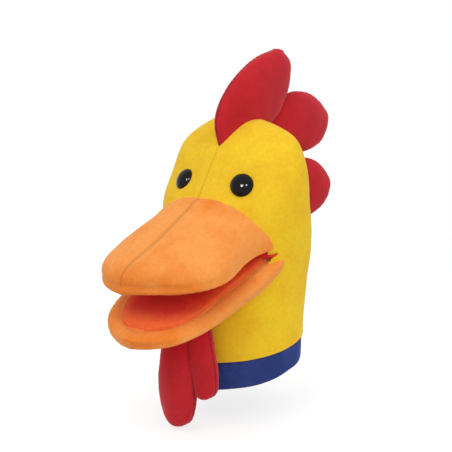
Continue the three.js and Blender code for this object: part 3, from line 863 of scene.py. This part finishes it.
def cuff():
    cols = 240
    angle = np.arange(cols) / cols * 2 * math.pi
    loop = CUFF_SECTION + CUFF_SECTION[:1]
    section = spline(loop, np.linspace(0, 1, 4 * len(CUFF_SECTION), endpoint=False))
    y = head_point(np.full(cols, 0.09), angle, 1.5)[:, 1]
    base = hem_height(y)
    scale = (yellow_edge(y) - base) / CUFF_EDGE
    sway = 0.45 * np.sin(3 * angle + 0.7) + 0.3 * np.sin(7 * angle + 2) + 0.2 * np.sin(13 * angle)
    drop = 0.45 * np.sin(2 * angle + 1.1) + 0.3 * np.sin(5 * angle + 0.4)
    gathers = 0.28 * np.sin(46 * angle + 1.5 * np.sin(5 * angle))
    rings = []
    for inset, rise in section:
        low = soft(rise, 14, 2)
        moved = inset + sway * (0.3 + 0.5 * low) + gathers * float(soft(rise, 9, 19)) * (inset < 3)
        height = base + rise * scale
        t = np.interp(height, PROFILE_Z, PROFILE_T)
        rings.append(head_point(t, angle, moved, height + np.maximum(drop, -0.2) * low))
    grid = np.array(rings + rings[:1]) * MM
    obj = grid_object("cuff", grid[:-1], caps=None, ends_meet=True)
    rise = np.repeat(section[:, 1], cols)
    # Painted shade: the blue is darkened just under the yellow edge, where the yellow cloth
    # overhangs it.
    store(obj, "seam", 0.7 * bell((rise - CUFF_EDGE) * MM, 1.6 * MM))
    store(obj, "tone", 0.5 * lumps(coords(obj), 0.018, 2.0))
    return obj


band = finish_piece(cuff(), BLUE)
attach(band, "head")
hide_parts("cuff_band")

# %% [markdown]
# ## The two halves of the beak
# Each half is a stuffed velour cushion: the cloth runs over the top, rolls round the rim and ends
# in a seam on the mouth side, a few millimetres in. The body is a loft of soft square sections.
# The cloth simulation then swells it a little, with the centre seam, the rim's seam and the
# buried back end held. The seam grooves and the gathers come last, because a swelling cloth
# would smooth them away.

# %% Beak bodies
RIM_ROLL = {1: 7.0, -1: 10.0}  # the rim's seam to the outline, for the upper and the lower half
UPPER_NUDGES = [
    ((-45, -85, 75), 30, (6, 3, 0)), ((9, -112, 72), 30, (-5, 0, 0)),
    ((1, -112, 74), 25, (-5, 0, 0)),
]
LOWER_NUDGES = [((-40, -88, 48), 30, (-1.8, -1.7, 0))]


def beak_grid(stations, side, tilt, rows=110, cols=144, brushes=()):
    share = np.linspace(0, 1, rows)
    share = 1 - (1 - share) ** 1.25  # closer rows towards the tip
    table = spline(stations, share)
    angle = np.arange(cols) / cols * 2 * math.pi
    across, up = oval(angle, BEAK_POWER)
    s, width, height = table[:, :1], table[:, 1:2], table[:, 2:3]
    rim = RIM[side]
    rise = np.maximum(height - rim, 0.8)
    h = side * (rim + np.where(up > 0, up * rise, up * rim))
    return nudge(place_beak(width * across, s + 0 * across, h, tilt), brushes), table, angle


def outline_gap(stations, x, s):
    """Distance from each point to the beak's outline, seen from above, in millimetres."""
    fine = spline(stations, np.linspace(0, 1, 160))
    line = np.stack([fine[:, 1], fine[:, 0]], -1)
    flat = np.stack([np.abs(x), s], -1)
    return np.sqrt(((flat[..., None, :] - line) ** 2).sum(-1)).min(-1)


def beak_half(name, stations, side, tilt, brushes, centre_seam, seed):
    grid, table, angle = beak_grid(stations, side, tilt, brushes=brushes)
    cols = grid.shape[1]
    obj = grid_object(name, grid)
    face_outward(obj, grid.mean((0, 1)))
    x, s, h = beak_coords(grid, tilt)
    back = np.broadcast_to(1 - soft(table[:, :1], 14, 34), x.shape)
    mouth_side = np.broadcast_to((np.sin(angle) < 0), x.shape)
    roll = np.abs(outline_gap(stations, x, s) - RIM_ROLL[side]) * MM
    distance, along = seam_distance(grid, cols // 4)
    held = np.maximum(back, 0.85 * bell(distance, 3 * MM) * centre_seam)
    held = np.maximum(held, 0.9 * mouth_side)
    stuff(obj, np.append(held.ravel(), [1, 0]), 3.2, 1.6 * MM)
    mask = np.zeros(x.shape)
    if centre_seam:
        mask = sew(obj, distance, along, seed, 0.5 * MM, 1.0 * MM, 0.14 * MM, 6 * MM)
    points, out = coords(obj), normals(obj)
    count = x.size
    turn = np.arctan2(s - 50, x) * 60 * MM
    groove = np.where(mouth_side, -0.6 * MM * bell(roll, 1.8 * MM), 0)
    edge = (h * side).clip(-5, 40)
    lip = 0.45 * MM * bell(edge - 1.5, 2.2) - 0.75 * MM * bell(edge - 6.5, 2.0)
    gathers = 0.16 * MM * bell(edge - 3.0, 6) * puckers(turn, seed + 2, 5.5 * MM)
    wide = 0.5 * MM * lumps(points[:count], 0.028, seed).reshape(x.shape)
    fine = 0.16 * MM * lumps(points[:count], 0.009, seed + 4).reshape(x.shape)
    fade = soft(s, 6, 24)
    move = (groove + (lip + gathers) * fade + wide * fade + fine).ravel()
    points[:count] += out[:count] * move[:, None]
    set_coords(obj, points)
    # The seam mask darkens the centre seam and the rim's seam on the mouth side, as painted shade
    # in the grooves.
    store(obj, "seam", np.maximum(mask, np.where(mouth_side, 0.6 * bell(roll, 1.0 * MM), 0)))
    return obj, (x, s, h)


upper, (ux, us, uh) = beak_half("upper_beak_plush", UPPER, 1, UPPER_TILT, UPPER_NUDGES, 1.0, 2.2)
# Painted shade: the front and the lower side of the upper half are pushed towards the deeper
# orange, so the top reads paler, as if lit from above. The deeper spot near the face is brushed
# pile.
brushed_and_shading = 0.75 * soft(us, 55, 104) * soft(uh, 30, 6) + 0.35 * soft(uh, 9, 2)
brushed_and_shading += 0.9 * bell(np.hypot(ux - 14, (us - 22) * 0.9), 13) - 0.35
store(upper, "tone", brushed_and_shading)
finish_piece(upper, ORANGE)
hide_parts("upper_beak_cover_left", "upper_beak_cover_right", "upper_beak_padding")

lower, (_, ls, lh) = beak_half("lower_beak_plush", LOWER, -1, LOWER_TILT, LOWER_NUDGES, 0.0, 5.1)
# The lower half is painted deeper orange towards the tip and on the middle of its mouth side.
store(lower, "tone", 0.5 * soft(ls, 70, 118) - 0.35 + 0.4 * soft(-lh, 9, 1))
finish_piece(lower, ORANGE)
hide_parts("lower_beak_cover_left", "lower_beak_cover_right", "lower_beak_padding")

# %% [markdown]
# ## The mouth's lining
# The palate and the mouth's floor are thin padded panels of red velour, sewn in along the rim's
# seam. Each is a thin pad that lies on the cushion's mouth side and follows the beak's outline a
# few millimetres in, so its edge sinks into the seam's groove, which is darkened as painted shade.
# The red turns to orange red towards the rim and the front, partly as pile brushed outwards and
# partly as painted light, and the deeper red further in is painted shade. At the fold the two
# panels meet in a soft roll across the mouth, which shows as a small red fold in each corner.

# %% Palate, floor and fold
PANEL_FACE, PANEL_BACK = 2.9, 1.2  # how far a panel stands off its bed, and how far it sinks in
LIP_DIP = 2.4  # the panel's front end goes this far under the rolled lip
WIDEST = 62  # past the beak's half width everywhere


def lining_panel(name, stations, side, tilt, seed, bulge=1.3, sink=1.0):
    fine = spline(stations, np.linspace(0, 1, 240))
    edge_gap = RIM_ROLL[side]
    end = stations[-1][0] - edge_gap
    rows, cols = 80, 120
    share = 1 - (1 - np.linspace(0, 1, rows)) ** 1.6
    s = 1.0 + (end - 1.0) * share
    probe = np.linspace(0, WIDEST, 10 * WIDEST + 1)
    gap = outline_gap(stations, probe[None, :] + 0 * s[:, None], s[:, None] + 0 * probe[None, :])
    wide = np.interp(s, fine[:, 0], fine[:, 1])
    allowed = (gap >= edge_gap) & (probe[None, :] < wide[:, None])
    half = np.maximum((allowed * probe[None, :]).max(1), 0.4)
    half = np.convolve(np.pad(half, 3, mode="edge"), np.ones(7) / 7, "valid")
    half[-1] = 0.5
    angle = np.arange(cols) / cols * 2 * math.pi
    across, up = oval(angle, 2.6)
    pillow = bulge * soft(half, 2, 26)[:, None] * (1 - across**4)
    body = np.clip(np.abs(half[:, None] * across) / wide[:, None], 0, 1)
    bed = RIM[side] * (1 - (1 - body**BEAK_POWER) ** (1 / BEAK_POWER))  # the cushion's mouth side
    dip = LIP_DIP * soft(s, end - 9, end)[:, None]
    inward = soft(np.minimum(half[:, None] * (1 - np.abs(across)), end - s[:, None]), 0, 3)
    proud = np.where(up > 0, PANEL_FACE * inward + pillow * up, -PANEL_BACK * inward)
    h = side * (sink + dip + bed - proud)
    grid = place_beak(half[:, None] * across, s[:, None] + 0 * across, h, tilt)
    obj = grid_object(name, grid)
    face_outward(obj, grid.mean((0, 1)))
    near = half[:, None] * (1 - np.abs(across)) + 0 * s[:, None]
    front = (end - s)[:, None] + 0 * across
    rim = np.minimum(near, front * 0.8)
    points, out = coords(obj), normals(obj)
    count = near.size
    run = np.arctan2(s[:, None] - 50, half[:, None] * across) * 55 * MM
    ripple = 0.25 * MM * bell(rim * MM, 7 * MM) * puckers(run, seed, 5.2 * MM)
    folds = 0.5 * MM * lumps(points[:count], 0.02, seed).reshape(near.shape)
    points[:count] += out[:count] * (ripple + folds).ravel()[:, None]
    set_coords(obj, points)
    # Painted shade darkens the panel's edge in the seam's groove. The tone paints the rim and the
    # front paler orange, partly as brushed pile and partly as painted light.
    store(obj, "seam", 0.6 * bell(rim * MM, 1.2 * MM))
    store(obj, "tone", 1.2 * bell(rim, 13) + 0.55 * soft(s, 62, 108)[:, None] - 0.6 + 0 * across)
    return finish_piece(obj, MOUTH_RED)


palate = lining_panel("palate_velour", UPPER, 1, UPPER_TILT, 1.9)
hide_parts("palate")
floor_panel = lining_panel("mouth_floor_velour", LOWER, -1, LOWER_TILT, 3.3)
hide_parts("mouth_floor")


def mouth_fold():
    """The roll of lining along the fold, further forward near each corner, with tapered ends."""
    rows, cols = 90, 28
    x = np.linspace(-CORNER, CORNER, rows)
    angle = np.arange(cols) / cols * 2 * math.pi
    end = np.sqrt(np.clip(1 - (np.abs(x) / (CORNER + 0.1)) ** 6, 0.002, 1))
    radius = (4.4 * end)[:, None]
    middle = 4.0 + 1.5 * bell(np.abs(x) - 48, 9)[:, None]
    tilt = (UPPER_TILT + LOWER_TILT) / 2
    grid = place_beak(
        x[:, None] + 0 * angle, middle + radius * 1.5 * np.cos(angle), radius * np.sin(angle), tilt
    )
    obj = grid_object("mouth_fold", grid)
    face_outward(obj, grid.mean((0, 1)))
    points = coords(obj)
    set_coords(obj, points + normals(obj) * (0.5 * MM * lumps(points, 0.012, 7.0))[:, None])
    store(obj, "tone", -0.5 + 0 * points[:, 0])
    return finish_piece(obj, MOUTH_RED)


fold = mouth_fold()
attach(fold, "head")

# %% [markdown]
# ## The pockets for the fingers and thumb
# A flat pocket of lining cloth lies in each half of the beak. It hardly ever shows, but it is what
# the hand works the beak with, so it is there, rounded at its end and open towards the head.

# %% Pockets
def pocket(name, side, tilt, half, floor_height, height, start, end):
    rows, cols = 40, 72
    share = np.linspace(0, 1, rows)
    angle = np.arange(cols) / cols * 2 * math.pi
    across, up = oval(angle, 3)
    taper = 1 - 0.2 * share**3
    close = np.sqrt(np.clip(1 - (np.clip(share - 0.86, 0, 1) / 0.142) ** 2, 0.004, 1))
    s = start + (end - start) * share
    middle = floor_height + height / 2 * taper
    grid = place_beak(
        (half * taper * (0.35 + 0.65 * close))[:, None] * across,
        s[:, None] + 0 * across,
        (side * middle)[:, None] + (height / 2 * taper * close)[:, None] * up,
        tilt,
    )
    obj = grid_object(name, grid, caps=(False, True))
    face_outward(obj, grid.mean((0, 1)))
    points = coords(obj)
    set_coords(obj, points + normals(obj) * (0.2 * MM * lumps(points, 0.02, half))[:, None])
    thicken(obj, 0.9 * MM)
    return finish_piece(obj, LINING)


fingers = pocket(
    "finger_pocket_cloth", 1, UPPER_TILT, half=37, floor_height=5.6, height=21, start=14, end=72
)
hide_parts("finger_pocket")
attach(fingers, "upper_beak")
thumb = pocket(
    "thumb_pocket_cloth", -1, LOWER_TILT, half=19, floor_height=4.6, height=10.5, start=20, end=62
)
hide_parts("thumb_pocket")
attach(thumb, "lower_beak")

# %% [markdown]
# ## Comb and wattle lobes
# A lobe is two flat red panels sewn round the edge, turned, filled and sewn down at its root. Its
# table gives a front and a back edge in the centre plane and the half thickness between them, from
# the root to the tip. The simulation fills it with the edge seam and the root held, and the
# seam is then sunk in and gathered. The root reaches a few millimetres into the piece that
# carries it, so there is no gap when the lobe leans.

# %% Lobe sizes
LOBES = {
    "comb_front": dict(
        x=[0, 0], seed=1.1, parent="head", root=(0, 10, 180), far=(0, 14, 199),
        front=[(-14, 164), (-16.5, 180), (-10, 198), (7, 215), (28, 227.5), (50, 234)],
        back=[(42, 175), (55, 187), (63, 199), (67, 211), (68, 222), (61, 231.5)],
        half=[7, 11, 11.2, 9.8, 7.6, 4.2],
    ),
    "comb_middle": dict(
        x=[0, 0], seed=2.7, parent="head", root=(0, 44, 165), far=(0, 62, 176),
        front=[(36, 172), (54, 192), (73, 200), (93, 196), (110, 184)],
        back=[(40, 154), (66, 151), (86, 151), (103, 156), (115, 172)],
        half=[2.8, 8, 9.8, 8.5, 4.5],
    ),
    "comb_rear": dict(
        x=[0, 0], seed=4.4, parent="head", root=(0, 52, 128), far=(0, 70, 125),
        front=[(46, 149), (70, 147.5), (92, 144), (106, 136), (113, 126)],
        back=[(50, 104), (76, 98), (94, 99), (106, 105), (113, 118)],
        half=[2.8, 7.5, 9, 7.6, 4.5],
    ),
    "wattle_right": dict(
        x=[6, 4, 4], seed=6.2, parent="lower_beak", root=(2, -68, 36), far=(2, -69, 19),
        blunt=0.7,
        front=[(-76, 42), (-79.5, 18), (-80, -4), (-78.5, -21), (-75, -32), (-70, -37)],
        back=[(-58, 49), (-57.5, 20), (-57, -2), (-58, -19), (-61.5, -31), (-66.5, -36.8)],
        half=[9, 14, 17.5, 17, 13.5, 9],
    ),
    "wattle_left": dict(
        x=[19, 25, 26], seed=8.5, parent="lower_beak", root=(25, -63, 40), far=(26, -62, 24),
        blunt=0.7,
        front=[(-68, 47), (-70, 26), (-70.5, 10), (-69.5, -3), (-66.5, -11), (-62.5, -14)],
        back=[(-53, 53), (-52, 30), (-51.5, 12), (-52, -2), (-54.5, -10), (-59, -13.8)],
        half=[8, 10.5, 11.5, 10.8, 8.8, 6],
    ),
}


# %% Lobe builder
LEAST_CHORD = 9  # least distance in millimetres from a lobe's edge to its middle, before the tip
TIP_POWER = 2.2  # how round the closing tip is


def lobe_grid(plan, rows=84, cols=80):
    t = np.linspace(0, 1, rows)
    front, back = spline(plan["front"], t), spline(plan["back"], t)
    half = spline(plan["half"], t)[:, 0]
    middle, reach = (front + back) / 2, (front - back) / 2
    chord = np.linalg.norm(reach, axis=1)
    lead = reach / chord[:, None]
    blunt = plan.get("blunt", 0.86)  # where the rounded tip begins
    k = np.clip((t - blunt) / (1 - blunt), 0, 1)
    closing = np.maximum((1 - k**TIP_POWER) ** (1 / TIP_POWER), 0.06)
    chord = np.maximum(chord, LEAST_CHORD) * closing
    half = half * closing
    ahead = np.gradient(middle, axis=0)
    ahead /= np.linalg.norm(ahead, axis=1, keepdims=True)
    middle = middle + ahead * (1.6 * k**2)[:, None]
    angle = np.arange(cols) / cols * 2 * math.pi
    across, along = oval(angle, 1.92)
    x = spline(plan["x"], t) + half[:, None] * across
    y = middle[:, :1] + lead[:, :1] * chord[:, None] * along
    z = middle[:, 1:] + lead[:, 1:] * chord[:, None] * along
    return np.stack([x, y, z], -1) * MM, t


def make_lobe(name, plan):
    grid, t = lobe_grid(plan)
    cols = grid.shape[1]
    obj = grid_object(name + "_lobe", grid)
    face_outward(obj, grid.mean((0, 1)))
    first = 0 if plan["parent"] == "lower_beak" else cols // 4
    fields = [seam_distance(grid, column) for column in (first, first + cols // 2)]
    edge = np.minimum(fields[0][0], fields[1][0])
    tip = (1 - t)[:, None] + 0 * edge
    root = 1 - soft(t, 0.02, 0.14)[:, None] + 0 * edge
    held = np.maximum(root, 0.6 * bell(edge, 2.5 * MM))
    stuff(obj, np.append(held.ravel(), [1, 0]), 3.0, 1.5 * MM)
    points = coords(obj)
    seed = plan["seed"]
    wide = 0.55 * MM * lumps(points, 0.019, seed) + 0.2 * MM * lumps(points, 0.008, seed + 3)
    set_coords(obj, points + normals(obj) * wide[:, None])
    mask = 0
    for (distance, along), extra in zip(fields, (0.0, 1.7)):
        mask = mask + sew(obj, distance, along, seed + extra, 0.5 * MM, 1.1 * MM, 0.2 * MM, 6 * MM)
    # Painted shade: the colour is darkened along the edge seams and at the root, where the lobe
    # meets the piece that carries it.
    root_shade = 0.5 * (1 - soft(t, 0.0, 0.06))[:, None] + 0 * edge
    store(obj, "seam", np.maximum(mask, root_shade) * soft(tip, 0, 0.03))
    store(obj, "tone", 0.35 * lumps(points, 0.03, seed + 1))
    return finish_piece(obj, RED)


lobes = {name: make_lobe(name, plan) for name, plan in LOBES.items()}
for name, obj in lobes.items():
    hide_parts(name + "_cover_left", name + "_cover_right", name + "_stuffing")

# %% [markdown]
# ## Button eyes
# Each eye is a turned black button: a high dome, a thin rounded edge, a flat back and a stem that
# goes through the cloth into a white washer. The profile is turned about its own axis with enough
# steps that its highlight stays round, then stood on the face along the face's own direction.

# %% Eyes and washers
EYE_PROFILE = [  # radius as a share of the eye's, and height in millimetres
    (0.29, -5.6), (0.29, -1.4), (0.8, -1.3), (0.96, -1.15), (1.0, -0.7), (1.0, 0.1),
    (0.985, 0.9), (0.93, 2.1), (0.82, 3.3), (0.66, 4.35), (0.46, 5.15), (0.24, 5.6), (0.02, 5.75),
]
WASHER_PROFILE = [  # radius and height in millimetres
    (3.0, -4.3), (6.4, -4.3), (7.0, -4.0), (7.0, -3.3), (6.4, -3.0), (4.2, -3.0), (3.4, -2.7),
    (3.0, -2.9),
]


def turned(name, profile, seat, steps, cols, closed, caps):
    table = np.array(profile + profile[:1] if closed else profile, float)
    fine = spline(table, np.linspace(0, 1, steps, endpoint=not closed))
    point, out = seat
    side = np.cross(out, (0, 0, 1))
    side /= np.linalg.norm(side)
    up = np.cross(side, out)
    angle = np.arange(cols) / cols * 2 * math.pi
    ring = np.cos(angle)[:, None] * side + np.sin(angle)[:, None] * up
    grid = point + MM * (fine[:, :1, None] * ring + fine[:, 1:, None] * np.array(out))
    obj = grid_object(name, grid, caps=caps, ends_meet=closed)
    return face_outward(obj, grid.mean((0, 1)))


EYE_SINK = 1.0 * MM  # the dimple pulls each eye this far into the face
for side, x in EYE_SPOTS.items():
    point, out = face_seat(x, EYE_Z)
    seat = (point - out * EYE_SINK, out)
    dome = [(share * EYE_RADIUS, rise) for share, rise in EYE_PROFILE]
    eye = turned(
        f"eye_button_{side}", dome, seat, steps=72, cols=72, closed=False, caps=(True, True)
    )
    finish_piece(eye, EYE_BLACK)
    washer = turned(
        f"eye_disc_{side}", WASHER_PROFILE, seat, steps=40, cols=56, closed=True, caps=None
    )
    finish_piece(washer, WASHER_WHITE)
    for obj, stands_for in ((eye, f"eye_{side}"), (washer, f"eye_washer_{side}")):
        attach(obj, "head")
        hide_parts(stands_for)

# %% [markdown]
# ## Cloth that crosses a joint
# The beak's cloth is sewn to the head at the back and moves with the hand at the front, and each
# lobe is sewn down at its root. Here the beak's halves, the mouth's lining panels and the lobes
# only have their placement baked into their points; no blend between bodies is made.

# %% Baked placements
def beak_blend(obj):
    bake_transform(obj)


beak_blend(upper)
beak_blend(palate)
beak_blend(lower)
beak_blend(floor_panel)
for name, obj in lobes.items():
    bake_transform(obj)

# %% [markdown]
# ## Floor, light and camera
# The puppet hangs on its hand just above a pale floor. Two broad lamps and a bright surrounding
# give the soft, nearly shadowless light of a product table. Two small ones light nothing and show
# only in reflections, as the points of light in the eyes. The broad lamps are kept out of
# reflections, because their large shapes would turn the black eyes grey. The floor throws some
# light up, as white paper does, and is whiter for what the camera and reflections see, so that
# it reads as white and still keeps the soft shadow.

# %% Floor and surroundings
FLOOR_Z = cad_box[0].z - 0.004
FLOOR_SIZE = 6.0  # half the floor's width
FADE_FROM, FADE_TO = 0.15, 0.75  # the floor fades into the white surrounding between these
FLOOR_GREY = 0.34  # how much of the lamps' light the floor gives back, which carries the shadow
FLOOR_BOUNCE = 0.45  # light that the white floor throws up under the beak
FLOOR_GLOW = 0.72  # white added for camera and mirror rays


def white_for_rays(tree):
    """1 for camera, glossy and transmission rays, which see the plain white surrounding."""
    path = node(tree, "ShaderNodeLightPath")
    seen = math_node(tree, "MAXIMUM", path.outputs["Is Camera Ray"], path.outputs["Is Glossy Ray"])
    return math_node(tree, "MAXIMUM", seen, path.outputs["Is Transmission Ray"])


def studio_floor():
    size = FLOOR_SIZE
    mesh = bpy.data.meshes.new("studio_floor")
    corners = [
        (-size, -size, FLOOR_Z), (size, -size, FLOOR_Z),
        (size, size, FLOOR_Z), (-size, size, FLOOR_Z),
    ]
    mesh.from_pydata(corners, [], [(0, 1, 2, 3)])
    floor = link("studio_floor", mesh)
    material = bpy.data.materials.new("pale_floor")
    material.use_nodes = True
    tree = material.node_tree
    shader = tree.nodes["Principled BSDF"]
    shader.inputs["Roughness"].default_value = 0.9
    shader.inputs["Specular IOR Level"].default_value = 0.0
    place = node(tree, "ShaderNodeTexCoord").outputs["Object"]
    far = node(tree, "ShaderNodeVectorMath", operation="LENGTH")
    wire(tree, place, far.inputs[0])
    fade = node(tree, "ShaderNodeMapRange", interpolation_type="SMOOTHSTEP")
    fade.inputs["From Min"].default_value = FADE_FROM
    fade.inputs["From Max"].default_value = FADE_TO
    wire(tree, far.outputs["Value"], fade.inputs["Value"])
    pale = (FLOOR_GREY, FLOOR_GREY, FLOOR_GREY, 1)
    wire(tree, mix_colour(tree, fade.outputs[0], pale, (0, 0, 0, 1)), shader.inputs["Base Color"])
    glow = math_node(tree, "MULTIPLY_ADD", fade.outputs[0], 1 - FLOOR_GLOW)
    glow.node.inputs[2].default_value = FLOOR_GLOW
    seen = math_node(tree, "MULTIPLY", white_for_rays(tree), glow)
    lift = math_node(tree, "MAXIMUM", seen, FLOOR_BOUNCE)
    wire(tree, lift, shader.inputs["Emission Strength"])
    shader.inputs["Emission Color"].default_value = (1, 1, 1, 1)
    mesh.materials.append(material)


studio_floor()
AMBIENT = 0.86  # the level of light from all round
world = bpy.data.worlds.new("surrounding")
bpy.context.scene.world = world
world.use_nodes = True
sky = world.node_tree
background = sky.nodes["Background"]
level = math_node(sky, "MULTIPLY_ADD", white_for_rays(sky), 1 - AMBIENT)
level.node.inputs[2].default_value = AMBIENT
wire(sky, level, background.inputs["Strength"])
background.inputs["Color"].default_value = (1, 1, 1, 1)

# %% Lamps
AIM = Vector((-0.005, -0.01, 0.10))
GLINT_POWER = 150  # watts for a lamp one metre across; the power goes with the area


def lamp(name, azimuth, elevation, distance, size, power, in_reflections):
    light = bpy.data.lights.new(name, "AREA")
    light.shape = "DISK"
    light.size = size
    light.energy = power
    obj = link(name, light)
    a, e = azimuth * DEG, elevation * DEG
    back = Vector((math.sin(a) * math.cos(e), -math.cos(a) * math.cos(e), math.sin(e)))
    obj.location = AIM + back * distance
    obj.rotation_mode = "QUATERNION"
    obj.rotation_quaternion = back.to_track_quat("Z", "Y")
    obj.visible_glossy = in_reflections
    return obj


lamp("key", 8, 55, distance=1.6, size=1.2, power=6.5, in_reflections=False)
lamp("fill", 85, 30, distance=1.7, size=1.3, power=6.5, in_reflections=False)
for name, azimuth, size in (("glint_left", 22, 0.42), ("glint_right", 60, 0.30)):
    power = GLINT_POWER * size**2
    glint = lamp(name, azimuth, 28, distance=1.5, size=size, power=power, in_reflections=True)
    glint.visible_diffuse = False

# %% Camera
AZIMUTH, ELEVATION, ROLL = 44 * DEG, 10 * DEG, -1.5 * DEG
TARGET = Vector((-0.01635, 0.00835, 0.09851))
DISTANCE = 0.9
SENSOR, LENS = 36, 91.9  # millimetres
camera_data = bpy.data.cameras.new("view")
camera_data.sensor_width = SENSOR
camera_data.lens = LENS
camera_data.clip_start, camera_data.clip_end = 0.02, 40
camera = link("view", camera_data)
back = Vector((
    math.sin(AZIMUTH) * math.cos(ELEVATION),
    -math.cos(AZIMUTH) * math.cos(ELEVATION),
    math.sin(ELEVATION),
))
camera.location = TARGET + back * DISTANCE
camera.rotation_mode = "QUATERNION"
roll = Matrix.Rotation(ROLL, 3, "Z").to_quaternion()
camera.rotation_quaternion = back.to_track_quat("Z", "Y") @ roll
scene = bpy.context.scene
scene.camera = camera
scene.view_settings.view_transform = "Standard"

# %% [markdown]
# ## The frame's box
# The box of the frame, kept before any cloth was added, is printed at the end. The visual may
# stand only a little outside the frame.

# %% Finish
print("frame box:", [list(p) for p in cad_box])
